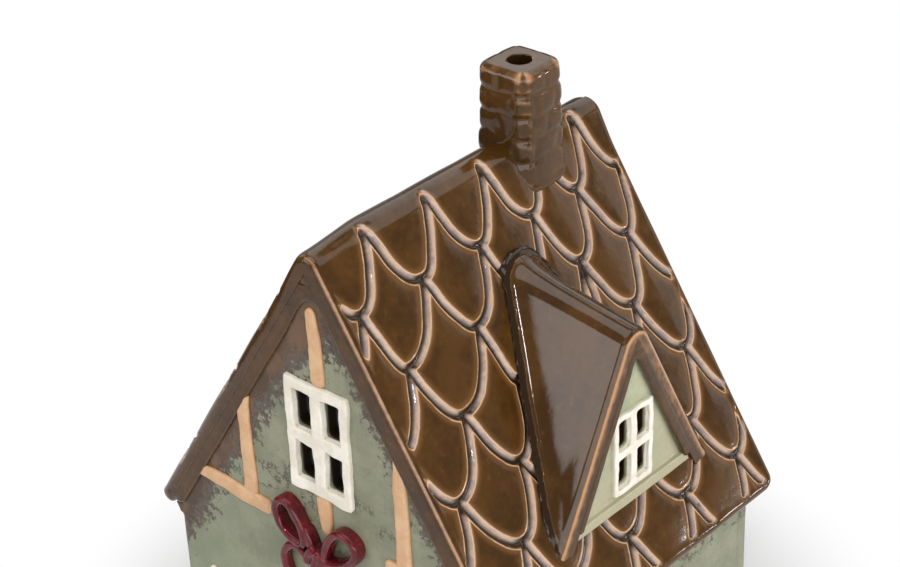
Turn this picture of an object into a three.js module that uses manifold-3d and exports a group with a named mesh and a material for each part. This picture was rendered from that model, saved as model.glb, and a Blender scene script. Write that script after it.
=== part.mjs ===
// A slab-built stoneware house that shelters a tea light: half-timbered walls, a scalloped tile roof,
// a dormer and a chimney that draws off the candle's heat.
// Sizes are in millimetres. X runs across the front gable, Y from front to back and Z up, and the
// origin is on the table under the middle of the house. The front gable faces -Y, the dormer +X.
import * as THREE from "three";
import { mergeVertices } from "three/addons/utils/BufferGeometryUtils.js";
import Module from "manifold-3d";

const wasm = await Module();
wasm.setup();

// Clay slabs of the walls and the floor
const HOUSE_WIDTH = 106;
const HOUSE_DEPTH = 98;
const WALL_THICKNESS = 4.5;
const FLOOR_THICKNESS = 4.5;
const CORNER_ROUND = 2.5;
const EAVE_COVE = 3; // hollow fillet of slip between the walls and the eaves

// Roof slabs, which lean together at the ridge
const ROOF_PITCH_DEGREES = 57.3;
const ROOF_THICKNESS = 4.6;
const EAVE_HEIGHT = 51.5;
const EAVE_OVERHANG = 6.3;
const VERGE_OVERHANG = 1.5;
const RIDGE_ROUND = 4.5;
const ROOF_EDGE_ROUND = 1.8;
const EAVE_CORNER_ROUND = 6;

// Room for slip where slabs meet at a slant
const SLIP_GAP = 0.3;

// Scalloped tiles, cut into each roof slab as grooves
const TILE_WIDTH = 19.6;
const TILE_COURSE = 15.6;
const FIRST_TILE_TIP = 20.6; // from the ridge, down the slope
const FIRST_TILE_MIDDLE = 6.4; // from the front verge
const TILE_DRIFT = 9; // how far the lower courses creep towards the front verge
const TILE_DRIFT_SPAN = 50; // of slope, over which the creep sets in
const TILE_ROUNDNESS = 2.3;
const GROOVE_WIDTH = 2.3;
const GROOVE_FLOOR_WIDTH = 0.9;
const GROOVE_DEPTH = 1.1;
const PLAIN_BORDER = 2.4; // along the verges and the eave

// Chimney, astride the ridge
const CHIMNEY_Y = 24.4;
const CHIMNEY_TOP_SIZE = 15;
const CHIMNEY_TAPER = 1;
const CHIMNEY_RISE = 20.1;
const CHIMNEY_CORNER_ROUND = 2.6;
const CHIMNEY_TOP_ROUND = 1.6;
const FLUE_RADIUS = 3;
const BRICK_COURSE = 5.7;
const MORTAR_WIDTH = 1.3;
const MORTAR_DEPTH = 0.5;

// Dormer on the right-hand slope
const DORMER_Y = 4.3;
const DORMER_PITCH_DEGREES = 62.5;
const DORMER_SETBACK = 10.7; // of its front wall from the eave's edge
const DORMER_OVERHANG = 1.9;
const DORMER_HALF_WIDTH = 28.5;
const DORMER_RIDGE_FALL = 0.16; // per millimetre outwards
const DORMER_ROOF_THICKNESS = 4.6;
const DORMER_WALL_THICKNESS = 3;
const DORMER_RIDGE_ROUND = 5.2;
const DORMER_EDGE_ROUND = 1.6;
const DORMER_SILL_DEPTH = 1.3;
const DORMER_SILL_HEIGHT = 1.6;
const LIGHT_WELL_MARGIN = 2.6;
const LIGHT_WELL_TIP = 2.2; // half its width at its narrow upper end

// Window frames: a raised rim and a cross bar round four panes that go right through the wall
const FRAME_RELIEF = 1.2;
const FRAME_ROUND = 1.6;
const PANE_ROUND = 1;
const GABLE_WINDOW_X = 0;
const GABLE_WINDOW_RISE = 26.3; // of its middle above the middle of the rails
const GABLE_PANE_WIDTH = 5.5;
const GABLE_PANE_HEIGHT = 10.4;
const GABLE_FRAME_BAR = 3.8;
const DORMER_WINDOW_DROP = 38.2; // of its middle below the dormer's tip
const DORMER_PANE_WIDTH = 4.3;
const DORMER_PANE_HEIGHT = 7.4;
const DORMER_FRAME_BAR = 2.7;
const GROUND_WINDOW_INSET = 19; // of its middle from the side wall's face
const GROUND_WINDOW_Z = 25;
const GROUND_PANE_WIDTH = 4.6;
const GROUND_PANE_HEIGHT = 7.4;
const GROUND_FRAME_BAR = 2.9;

// Timbers, trailed on in thick slip
const TIMBER_WIDTH = 4.2;
const TIMBER_RELIEF = 0.8;
const TIMBER_BEVEL = 0.5;
const TIMBER_ROOF_GAP = 1.2;
const KING_POST_DROP = 13.6; // of its top below the ridge
const LOFT_POST_INSET = 28; // of its middle from the side wall's face
const LOFT_RAIL_RISE = 13.5; // of its middle above the eave
const LOFT_RAIL_INSET = 6;
const LOFT_RAIL_BOW_GAP = 2.2;
const SIDE_RAIL_Z = 21.6;

// Front door, a slab laid on the wall
const DOOR_WIDTH = 25;
const DOOR_HEIGHT = 40;
const DOOR_ARCH_RISE = 6;
const DOOR_RELIEF = 1.4;
const PLANK_COUNT = 5;
const PLANK_GROOVE = 0.8;
const KNOB_RADIUS = 1.4;
const KNOB_INSET = 4;
const KNOB_HEIGHT = 19;

// Bow of clay strips over the door
const BOW_X = -2;
const BOW_DROP = 6.6; // of its knot below the middle of the rails
const BOW_STRIP_WIDTH = 3;
const BOW_STRIP_DEPTH = 3.6;
const BOW_LOOP_LENGTH = 18.5;
const BOW_LOOP_WIDTH = 12;
const LEFT_LOOP_TILT_DEGREES = 45;
const RIGHT_LOOP_TILT_DEGREES = 38;
const BOW_TAIL_REACH = 11;
const BOW_TAIL_DROP = 10.5;
const KNOT_WIDTH = 5;
const KNOT_HEIGHT = 6.4;
const KNOT_DEPTH = 4.6;

// Rear doorway, through which the tea light goes in
const DOORWAY_WIDTH = 50;
const DOORWAY_HEIGHT = 50;

// Standard tea light
const CUP_RADIUS = 19;
const CUP_HEIGHT = 16;
const CUP_WALL = 0.5;
const CUP_FOOT_ROUND = 1;
const WAX_HEIGHT = 12.5;
const WAX_GAP = 0.3;
const WICK_RADIUS = 0.9;
const WICK_TOP = 18.5;
const WICK_TAB_RADIUS = 6.5;
const WICK_TAB_THICKNESS = 0.5;
const WICK_NECK_HEIGHT = 3.2;
const WICK_NECK_WALL = 0.6;

const GLAZES = {
  brown: { color: 0x4a2c12, roughness: 0.12 },
  sage: { color: 0x8b917a, roughness: 0.45 },
  celadon: { color: 0xa9b89b, roughness: 0.3 },
  peach: { color: 0xdba377, roughness: 0.45 },
  white: { color: 0xe9e3d6, roughness: 0.3 },
  red: { color: 0x6e1c25, roughness: 0.15 },
  bisque: { color: 0xb59a7a, roughness: 0.8 },
  aluminium: { color: 0xc8c9cc, roughness: 0.3, metalness: 1 },
  wax: { color: 0xf1ede2, roughness: 0.5 },
  cotton: { color: 0xe8e2d2, roughness: 0.9 },
};

// Places that follow from the driving sizes
const pitch = THREE.MathUtils.degToRad(ROOF_PITCH_DEGREES);
const dormerPitch = THREE.MathUtils.degToRad(DORMER_PITCH_DEGREES);
const halfWidth = HOUSE_WIDTH / 2;
const halfDepth = HOUSE_DEPTH / 2;
const innerHalfWidth = halfWidth - WALL_THICKNESS;
const innerHalfDepth = halfDepth - WALL_THICKNESS;
const roofHalfLength = halfDepth + VERGE_OVERHANG;
const slopeLength =
  (halfWidth + EAVE_OVERHANG - ROOF_EDGE_ROUND * (1 - Math.sin(pitch))) / Math.cos(pitch) +
  ROOF_EDGE_ROUND;
const apexZ =
  EAVE_HEIGHT + (slopeLength - ROOF_EDGE_ROUND) * Math.sin(pitch) + ROOF_EDGE_ROUND * Math.cos(pitch);
const ridgeTopZ = apexZ - RIDGE_ROUND / Math.cos(pitch) + RIDGE_ROUND;
const chimneyTopZ = ridgeTopZ + CHIMNEY_RISE;
const roofSurfaceZ = (x) => apexZ - Math.abs(x) * Math.tan(pitch);
const roofUndersideZ = (x) => roofSurfaceZ(x) - ROOF_THICKNESS / Math.cos(pitch);
const dormerFaceX = halfWidth + EAVE_OVERHANG - DORMER_SETBACK;
const dormerTipX = dormerFaceX + DORMER_OVERHANG;
const dormerTipZ = roofSurfaceZ(dormerTipX) + DORMER_HALF_WIDTH * Math.tan(dormerPitch);
const dormerRidgeZ = (x) => dormerTipZ + (dormerTipX - x) * DORMER_RIDGE_FALL;
const dormerUndersideZ = (x) => dormerRidgeZ(x) - DORMER_ROOF_THICKNESS / Math.cos(dormerPitch);
const loftRailZ = EAVE_HEIGHT + LOFT_RAIL_RISE;
const loftPostX = halfWidth - LOFT_POST_INSET;
const groundWindowX = halfWidth - GROUND_WINDOW_INSET;
const bowZ = loftRailZ - BOW_DROP;

// How far a rounded edge draws in, at steps from its end, as shares of the edge's radius
const EDGE_STEPS = [
  [0, 0.6],
  [0.2, 0.26],
  [0.55, 0.06],
  [1, 0],
];

// Frames for relief on each wall: X along the wall, Y up, Z out of it
const axis = (x, y, z) => new THREE.Vector3(x, y, z);
const frame = (along, up, out, at) => new THREE.Matrix4().makeBasis(along, up, out).setPosition(at);
const onFront = frame(axis(1, 0, 0), axis(0, 0, 1), axis(0, -1, 0), axis(0, -halfDepth, 0));
const onRight = frame(axis(0, 1, 0), axis(0, 0, 1), axis(1, 0, 0), axis(halfWidth, 0, 0));
const onLeft = frame(axis(0, -1, 0), axis(0, 0, 1), axis(-1, 0, 0), axis(-halfWidth, 0, 0));
const onDormer = frame(axis(0, 1, 0), axis(0, 0, 1), axis(1, 0, 0), axis(dormerFaceX, DORMER_Y, 0));

// On the right-hand slope: X down the slope from the ridge, Y towards the back, Z out of the roof
const onSlope = frame(
  axis(Math.cos(pitch), 0, -Math.sin(pitch)),
  axis(0, 1, 0),
  axis(Math.sin(pitch), 0, Math.cos(pitch)),
  axis(0, 0, apexZ),
);

// Turns a closed three.js geometry into a solid that can be cut and joined.
function solid(geometry, matrix = new THREE.Matrix4()) {
  const bare = new THREE.BufferGeometry();
  bare.setAttribute("position", geometry.getAttribute("position"));
  bare.setIndex(geometry.index);
  const merged = mergeVertices(bare, 1e-4).applyMatrix4(matrix);
  return new wasm.Manifold(
    new wasm.Mesh({
      numProp: 3,
      vertProperties: new Float32Array(merged.attributes.position.array),
      triVerts: new Uint32Array(merged.index.array),
    }),
  );
}

// Turns a solid back into a three.js geometry.
function geometryOf(cutSolid) {
  const mesh = cutSolid.getMesh();
  const geometry = new THREE.BufferGeometry();
  geometry.setAttribute("position", new THREE.BufferAttribute(new Float32Array(mesh.vertProperties), 3));
  geometry.setIndex(new THREE.BufferAttribute(new Uint32Array(mesh.triVerts), 1));
  geometry.computeVertexNormals();
  return geometry;
}

// A closed solid through convex outlines that have the same number of points.
function loft(rings) {
  const count = rings[0].length;
  const last = (rings.length - 1) * count;
  const index = [];
  for (let a = 0; a < last; a++) {
    const b = a % count === count - 1 ? a - count + 1 : a + 1;
    index.push(a, b, b + count, a, b + count, a + count);
  }
  for (let i = 1; i + 1 < count; i++) index.push(0, i + 1, i, last, last + i, last + i + 1);
  const geometry = new THREE.BufferGeometry().setFromPoints(rings.flat());
  geometry.setIndex(index);
  return geometry;
}

// A box given by its low and high corners.
function boxBetween(low, high, matrix) {
  const size = high.map((value, i) => value - low[i]);
  const middle = high.map((value, i) => (value + low[i]) / 2);
  return solid(new THREE.BoxGeometry(...size).translate(...middle), matrix);
}

// An outline extruded along its own Z, with straight edges.
function prism(shape, from, to, matrix) {
  const geometry = new THREE.ExtrudeGeometry(shape, {
    depth: to - from,
    bevelEnabled: false,
    curveSegments: 5,
  });
  return solid(geometry.translate(0, 0, from), matrix);
}

// A relief that stands out from a wall, with its front edge bevelled and its back flat on the wall.
function relief(shape, height, bevel, matrix, curveSegments = 1) {
  const geometry = new THREE.ExtrudeGeometry(shape, {
    depth: height - bevel,
    bevelThickness: bevel,
    bevelSize: bevel,
    bevelOffset: -bevel,
    bevelSegments: 1,
    curveSegments,
  });
  const plain = solid(geometry).trimByPlane([0, 0, 1], 0);
  return plain.transform(matrix.elements);
}

function roundedRectangle(width, height, round, x = 0, y = 0, path = new THREE.Shape()) {
  const [left, right, low, high] = [x - width / 2, x + width / 2, y - height / 2, y + height / 2];
  path.moveTo(left + round, low);
  path.lineTo(right - round, low);
  path.absarc(right - round, low + round, round, -Math.PI / 2, 0);
  path.lineTo(right, high - round);
  path.absarc(right - round, high - round, round, 0, Math.PI / 2);
  path.lineTo(left + round, high);
  path.absarc(left + round, high - round, round, Math.PI / 2, Math.PI);
  path.lineTo(left, low + round);
  path.absarc(left + round, low + round, round, Math.PI, Math.PI * 1.5);
  return path;
}

function polygon(points) {
  return new THREE.Shape(points.map(([x, y]) => new THREE.Vector2(x, y)));
}

// Half the cross-section of a pitched roof slab, as [sideways, upwards] from the ridge's sharp apex:
// over the rounded ridge, down the slope, round the lower edge and back up to the mitre.
function slabSection({ angle, thickness, ridgeRound, edgeRound, length }, drawnIn = 0, cutBack = 0) {
  const [across, down] = [Math.cos(angle), Math.sin(angle)];
  const at = (along, depth) => [along * across - depth * down, -along * down - depth * across];
  const fold = ridgeRound - drawnIn;
  const foldZ = -ridgeRound / across;
  const points = [];
  for (let i = 0; i < 5; i++) {
    const turn = (angle * i) / 4;
    points.push([fold * Math.sin(turn), foldZ + fold * Math.cos(turn)]);
  }
  const round = edgeRound - drawnIn;
  const end = length - cutBack - edgeRound;
  for (let i = 0; i < 7; i++) {
    const turn = (Math.PI * i) / 6;
    const middle = i < 3.5 ? edgeRound : thickness - edgeRound;
    points.push(at(end + round * Math.sin(turn), middle - round * Math.cos(turn)));
  }
  points.push([0, -(thickness - drawnIn) / across]);
  return points;
}

// A roof slab with its lower corners and its free edges rounded. 'stations' gives the places along
// the ridge with how far the section is drawn in and cut back there.
function roofSlab(section, stations, place) {
  return solid(
    loft(stations.map(({ at, drawnIn, cutBack }) =>
      slabSection(section, drawnIn, cutBack).map(([side, up]) => place(at, side, up)),
    )),
  );
}

// Underside of the roof as a solid wedge, from which everything under the roof is trimmed.
function underRoof(gap) {
  const drop = gap / Math.cos(pitch);
  const reach = 4 * roofHalfLength;
  const low = -10;
  const top = roofUndersideZ(0) - drop;
  const foot = (top - low) / Math.tan(pitch);
  return prism(polygon([[-foot, low], [foot, low], [0, top]]), -reach, reach, onFront);
}

// Everything inside the outer surface of the roof, from which things that stand on it are trimmed.
function roofBulk(gap) {
  const rise = gap / Math.cos(pitch);
  const round = RIDGE_ROUND + gap;
  const foldZ = apexZ - RIDGE_ROUND / Math.cos(pitch);
  const low = -apexZ;
  const foot = (apexZ + rise - low) / Math.tan(pitch);
  const outline = [[-foot, low], [foot, low]];
  for (let i = -4; i < 5; i++) {
    const turn = (-pitch * i) / 4;
    outline.push([round * Math.sin(turn), foldZ + round * Math.cos(turn)]);
  }
  return prism(polygon(outline), -4 * roofHalfLength, 2 * roofHalfLength, onFront);
}

// Walls and floor
function paneOutlines(window) {
  const stepX = (window.paneWidth + window.bar) / 2;
  const stepY = (window.paneHeight + window.bar) / 2;
  return [[-1, -1], [1, -1], [-1, 1], [1, 1]].map(([i, j]) =>
    roundedRectangle(
      window.paneWidth, window.paneHeight, PANE_ROUND,
      window.x + i * stepX, window.y + j * stepY, new THREE.Path(),
    ),
  );
}

function windowSize(window) {
  const border = window.bar * 0.9;
  return [
    2 * window.paneWidth + window.bar + 2 * border,
    2 * window.paneHeight + window.bar + 2 * border,
  ];
}

function windowFrame(window, matrix) {
  const shape = roundedRectangle(...windowSize(window), FRAME_ROUND, window.x, window.y);
  shape.holes = paneOutlines(window);
  return relief(shape, FRAME_RELIEF, 0.35, matrix);
}

// Cuts the panes of a window through the wall behind its frame.
function cutPanes(wall, window, matrix, wallThickness) {
  const cutters = paneOutlines(window).map((pane) =>
    prism(new THREE.Shape(pane.getPoints(1)), -wallThickness - 1, 1, matrix),
  );
  return wall.subtract(wasm.Manifold.union(cutters));
}

const gableWindow = {
  x: GABLE_WINDOW_X,
  y: loftRailZ + GABLE_WINDOW_RISE,
  paneWidth: GABLE_PANE_WIDTH,
  paneHeight: GABLE_PANE_HEIGHT,
  bar: GABLE_FRAME_BAR,
};
const dormerWindow = {
  x: 0,
  y: dormerTipZ - DORMER_WINDOW_DROP,
  paneWidth: DORMER_PANE_WIDTH,
  paneHeight: DORMER_PANE_HEIGHT,
  bar: DORMER_FRAME_BAR,
};
const groundWindow = (x) => ({
  x,
  y: GROUND_WINDOW_Z,
  paneWidth: GROUND_PANE_WIDTH,
  paneHeight: GROUND_PANE_HEIGHT,
  bar: GROUND_FRAME_BAR,
});

// A gable wall at the front, with its outer corners rounded.
function gableWall() {
  const plan = new THREE.Shape();
  plan.moveTo(-halfWidth, -innerHalfDepth);
  plan.lineTo(-halfWidth, CORNER_ROUND - halfDepth);
  plan.absarc(CORNER_ROUND - halfWidth, CORNER_ROUND - halfDepth, CORNER_ROUND, Math.PI, Math.PI * 1.5);
  plan.absarc(halfWidth - CORNER_ROUND, CORNER_ROUND - halfDepth, CORNER_ROUND, -Math.PI / 2, 0);
  plan.lineTo(halfWidth, -innerHalfDepth);
  return prism(plan, 0, ridgeTopZ)
    .add(eaveCove(-1, -halfDepth, -innerHalfDepth))
    .add(eaveCove(1, -halfDepth, -innerHalfDepth))
    .intersect(underRoof(SLIP_GAP));
}

// The fillet under one eave, between two places along the house.
function eaveCove(side, fromY, toY) {
  const topZ = roofUndersideZ(halfWidth + EAVE_COVE / 2);
  const points = [[halfWidth - 1, topZ], [halfWidth - 1, topZ - EAVE_COVE]];
  for (let i = 0; i <= 5; i++) {
    const turn = (Math.PI * i) / 10;
    points.push([
      halfWidth + EAVE_COVE * (1 - Math.cos(turn)),
      topZ - EAVE_COVE * (1 - Math.sin(turn)),
    ]);
  }
  return prism(polygon(points.map(([x, z]) => [side * x, z])), -halfDepth - toY, -halfDepth - fromY, onFront);
}

function sideWall() {
  return boxBetween([innerHalfWidth, -innerHalfDepth, 0], [halfWidth, innerHalfDepth, ridgeTopZ])
    .add(eaveCove(1, -innerHalfDepth, innerHalfDepth))
    .intersect(underRoof(SLIP_GAP));
}

function doorwayCutter() {
  const half = DOORWAY_WIDTH / 2;
  const spring = FLOOR_THICKNESS + DOORWAY_HEIGHT - half;
  const shape = new THREE.Shape();
  shape.moveTo(-half, FLOOR_THICKNESS);
  shape.lineTo(half, FLOOR_THICKNESS);
  shape.lineTo(half, spring);
  shape.absarc(0, spring, half, 0, Math.PI);
  const geometry = new THREE.ExtrudeGeometry(shape, {
    depth: halfDepth,
    bevelEnabled: false,
    curveSegments: 12,
  });
  return solid(geometry.translate(0, 0, -2.5 * halfDepth), onFront);
}

const floorSlab = boxBetween(
  [-innerHalfWidth, -innerHalfDepth, 0],
  [innerHalfWidth, innerHalfDepth, FLOOR_THICKNESS],
);
const plainGable = gableWall();
let frontWall = cutPanes(plainGable, gableWindow, onFront, WALL_THICKNESS);
frontWall = cutPanes(frontWall, groundWindow(-groundWindowX), onFront, WALL_THICKNESS);
frontWall = cutPanes(frontWall, groundWindow(groundWindowX), onFront, WALL_THICKNESS);
const rearWall = plainGable.mirror([0, 1, 0]).subtract(doorwayCutter());
const rightWall = cutPanes(sideWall(), groundWindow(0), onRight, WALL_THICKNESS);
const leftWall = rightWall.mirror([1, 0, 0]);

// Main roof
const mainSection = {
  angle: pitch,
  thickness: ROOF_THICKNESS,
  ridgeRound: RIDGE_ROUND,
  edgeRound: ROOF_EDGE_ROUND,
  length: slopeLength,
};

function mainStations() {
  const edge = EDGE_STEPS.map(([share, inset]) => ({
    in: share * ROOF_EDGE_ROUND,
    drawnIn: inset * ROOF_EDGE_ROUND,
  }));
  const corner = [0.5, 0.75, 1].map((share) => ({ in: share * EAVE_CORNER_ROUND, drawnIn: 0 }));
  const half = [...edge, ...corner].sort((a, b) => a.in - b.in).map((step) => {
    const left = Math.max(EAVE_CORNER_ROUND - step.in, 0);
    return { ...step, cutBack: EAVE_CORNER_ROUND - Math.sqrt(EAVE_CORNER_ROUND ** 2 - left ** 2) };
  });
  const front = half.map((step) => ({ ...step, at: step.in - roofHalfLength }));
  const back = half.map((step) => ({ ...step, at: roofHalfLength - step.in })).reverse();
  return [...front, ...back];
}

// One tile's rounded lower edge as a groove cutter: a trough that follows the edge on the slope.
function tileGroove(middle, tip, rise) {
  const half = TILE_WIDTH / 2;
  const edge = (s) => axis(tip - rise * Math.abs(s) ** TILE_ROUNDNESS, middle + s * half, 0);
  const lift = 1;
  const topHalf =
    (GROOVE_WIDTH + ((GROOVE_WIDTH - GROOVE_FLOOR_WIDTH) * lift) / GROOVE_DEPTH) / 2;
  const floorHalf = GROOVE_FLOOR_WIDTH / 2;
  const rings = [-1, -0.68, -0.26, 0.26, 0.68, 1].map((s) => {
    const along = edge(s + 0.02).sub(edge(s - 0.02)).normalize();
    const side = axis(0, 0, 1).cross(along);
    const point = (sideways, height) =>
      edge(s).addScaledVector(side, sideways).add(axis(0, 0, height));
    return [
      point(floorHalf, -GROOVE_DEPTH),
      point(topHalf, lift),
      point(-topHalf, lift),
      point(-floorHalf, -GROOVE_DEPTH),
    ];
  });
  return solid(loft(rings), onSlope);
}

function tileGrooves() {
  const grooves = [];
  for (let course = 0; FIRST_TILE_TIP + course * TILE_COURSE < slopeLength + TILE_COURSE / 2; course++) {
    const tip = FIRST_TILE_TIP + course * TILE_COURSE;
    const rise = course === 0 ? TILE_COURSE * 0.75 : TILE_COURSE;
    const drift = TILE_DRIFT * THREE.MathUtils.smoothstep(tip, FIRST_TILE_TIP, FIRST_TILE_TIP + TILE_DRIFT_SPAN);
    const stagger = course % 2 ? TILE_WIDTH / 2 : 0;
    const first = FIRST_TILE_MIDDLE - roofHalfLength + stagger - TILE_WIDTH;
    for (let plain = first; plain < roofHalfLength + TILE_WIDTH; plain += TILE_WIDTH) {
      const middle = plain - (drift * (roofHalfLength - plain)) / (2 * roofHalfLength);
      grooves.push(tileGroove(middle, tip, rise));
    }
  }
  const half = roofHalfLength - PLAIN_BORDER;
  const within = boxBetween([7.5, -half, -GROOVE_DEPTH - 1], [slopeLength - PLAIN_BORDER, half, 2], onSlope);
  return wasm.Manifold.union(grooves).intersect(within).subtract(chimneyFoot());
}

function chimneyFoot() {
  const half = CHIMNEY_TOP_SIZE / 2 + CHIMNEY_TAPER + 1;
  return boxBetween([-half, CHIMNEY_Y - half, 0], [half, CHIMNEY_Y + half, chimneyTopZ]);
}

// The ground that the dormer covers, seen from above
function dormerGround(margin) {
  const reach = dormerTipX + margin;
  const rootX = (roofSurfaceZ(0) - dormerRidgeZ(0)) / (Math.tan(pitch) - DORMER_RIDGE_FALL) - 2 * margin;
  const half = (dormerRidgeZ(dormerTipX) - roofSurfaceZ(dormerTipX)) / Math.tan(dormerPitch) + margin;
  const plan = polygon([[rootX, DORMER_Y], [reach, DORMER_Y - half], [reach, DORMER_Y + half]]);
  return prism(plan, 0, chimneyTopZ);
}

// Hole in the roof slab inside the dormer, which lets the light through
function lightWell() {
  const halfAt = (x) =>
    (dormerUndersideZ(x) - roofSurfaceZ(x)) / Math.tan(dormerPitch) - LIGHT_WELL_MARGIN;
  const lowX = dormerFaceX - DORMER_WALL_THICKNESS - LIGHT_WELL_MARGIN;
  const low = halfAt(lowX);
  const widening = (low - halfAt(0)) / lowX;
  const highX = lowX - (low - LIGHT_WELL_TIP) / widening;
  const [start, end] = [highX / Math.cos(pitch), lowX / Math.cos(pitch)];
  const shape = polygon([
    [start, DORMER_Y - LIGHT_WELL_TIP],
    [end, DORMER_Y - low],
    [end, DORMER_Y + low],
    [start, DORMER_Y + LIGHT_WELL_TIP],
  ]);
  return prism(shape, -2 * ROOF_THICKNESS, ROOF_THICKNESS, onSlope);
}

function flueCutter() {
  const length = chimneyTopZ;
  const geometry = new THREE.CylinderGeometry(FLUE_RADIUS, FLUE_RADIUS, length, 24)
    .rotateX(Math.PI / 2)
    .translate(0, CHIMNEY_Y, chimneyTopZ + 5 - length / 2);
  return solid(geometry);
}

const plainRoof = roofSlab(mainSection, mainStations(), (at, side, up) => axis(side, at, apexZ + up));
const grooves = tileGrooves();
const rightRoof = plainRoof
  .subtract(grooves.subtract(dormerGround(1)))
  .subtract(flueCutter())
  .subtract(lightWell());
const leftRoof = plainRoof.subtract(grooves).subtract(flueCutter()).mirror([1, 0, 0]);

// Chimney: a square clay tube with its brick joints pressed in, scribed to sit on the ridge
function chimneyCore(inset) {
  const foot = ridgeTopZ - CHIMNEY_RISE;
  const ring = (z, drawnIn) => {
    const share = (chimneyTopZ - z) / (chimneyTopZ - foot);
    const size = CHIMNEY_TOP_SIZE + 2 * CHIMNEY_TAPER * share - 2 * (inset + drawnIn);
    const outline = roundedRectangle(size, size, CHIMNEY_CORNER_ROUND, 0, CHIMNEY_Y).getPoints(2);
    const single = outline.filter((p, i) => p.distanceTo(outline[(i + 1) % outline.length]) > 1e-3);
    return single.map((p) => axis(p.x, p.y, z));
  };
  const top = EDGE_STEPS.map(([share, drawn]) =>
    ring(chimneyTopZ - share * CHIMNEY_TOP_ROUND, drawn * CHIMNEY_TOP_ROUND),
  );
  return solid(loft([ring(foot, 0), ...top.reverse()]));
}

function brickJoints() {
  const half = CHIMNEY_TOP_SIZE / 2 + CHIMNEY_TAPER + 1;
  const joints = [];
  for (let course = 1; course * BRICK_COURSE < 1.8 * CHIMNEY_RISE; course++) {
    const z = chimneyTopZ - course * BRICK_COURSE;
    joints.push(
      boxBetween([-half, CHIMNEY_Y - half, z - MORTAR_WIDTH], [half, CHIMNEY_Y + half, z]),
    );
    const top = z - MORTAR_WIDTH / 2;
    const places = course % 2 ? [0] : [-CHIMNEY_TOP_SIZE / 4, CHIMNEY_TOP_SIZE / 4];
    for (const place of places) {
      const low = place - MORTAR_WIDTH / 2;
      const high = place + MORTAR_WIDTH / 2;
      const bottom = z - BRICK_COURSE - MORTAR_WIDTH / 2;
      joints.push(boxBetween([low, CHIMNEY_Y - half, bottom], [high, CHIMNEY_Y + half, top]));
      joints.push(boxBetween([-half, CHIMNEY_Y + low, bottom], [half, CHIMNEY_Y + high, top]));
    }
  }
  return wasm.Manifold.union(joints).subtract(chimneyCore(MORTAR_DEPTH));
}

const chimney = chimneyCore(0)
  .subtract(brickJoints())
  .subtract(roofBulk(SLIP_GAP))
  .subtract(flueCutter());

// Dormer
const dormerSection = {
  angle: dormerPitch,
  thickness: DORMER_ROOF_THICKNESS,
  ridgeRound: DORMER_RIDGE_ROUND,
  edgeRound: DORMER_EDGE_ROUND,
  length: 2 * dormerTipX,
};
const dormerStations = [
  { at: 2, drawnIn: 0, cutBack: 0 },
  ...EDGE_STEPS.map(([share, inset]) => ({
    at: dormerTipX - share * DORMER_EDGE_ROUND,
    drawnIn: inset * DORMER_EDGE_ROUND,
    cutBack: 0,
  })).reverse(),
];
const plainDormerRoof = roofSlab(dormerSection, dormerStations, (at, side, up) =>
  axis(at, -side, dormerRidgeZ(at) + up),
);
const dormerRoofFront = plainDormerRoof.translate([0, DORMER_Y, 0]).subtract(roofBulk(SLIP_GAP));
const dormerRoofRear = plainDormerRoof
  .mirror([0, 1, 0])
  .translate([0, DORMER_Y, 0])
  .subtract(roofBulk(SLIP_GAP));

function dormerFront() {
  const top = dormerUndersideZ(dormerFaceX) - SLIP_GAP / Math.cos(dormerPitch);
  const low = EAVE_HEIGHT;
  const foot = (top - low) / Math.tan(dormerPitch);
  const shape = polygon([[-foot, low], [foot, low], [0, top]]);
  const sillTop = roofSurfaceZ(dormerFaceX) + DORMER_SILL_HEIGHT;
  const sillHalf = (top - sillTop) / Math.tan(dormerPitch);
  const sill = polygon([[-foot, low], [foot, low], [sillHalf, sillTop], [-sillHalf, sillTop]]);
  return prism(shape, -DORMER_WALL_THICKNESS, 0, onDormer)
    .add(prism(sill, -DORMER_WALL_THICKNESS, DORMER_SILL_DEPTH, onDormer))
    .subtract(roofBulk(SLIP_GAP));
}

const dormerWall = cutPanes(dormerFront(), dormerWindow, onDormer, DORMER_WALL_THICKNESS);

// Timbers
function timber(fromX, toX, fromZ, toZ, matrix) {
  const shape = roundedRectangle(
    toX - fromX, toZ - fromZ, TIMBER_BEVEL * 2, (fromX + toX) / 2, (fromZ + toZ) / 2,
  );
  return relief(shape, TIMBER_RELIEF, TIMBER_BEVEL, matrix).intersect(underRoof(TIMBER_ROOF_GAP));
}

const halfTimber = TIMBER_WIDTH / 2;
const gableWindowHalf = windowSize(gableWindow)[1] / 2;
const railTop = loftRailZ + halfTimber;
const sideWindowHalf = windowSize(groundWindow(0))[0] / 2;
const post = (x, low, high) => timber(x - halfTimber, x + halfTimber, low, high, onFront);
const rail = (from, to) => timber(from, to, loftRailZ - halfTimber, railTop, onFront);
const sideRail = (from, to, wall) =>
  timber(from, to, SIDE_RAIL_Z - halfTimber, SIDE_RAIL_Z + halfTimber, wall);

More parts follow.
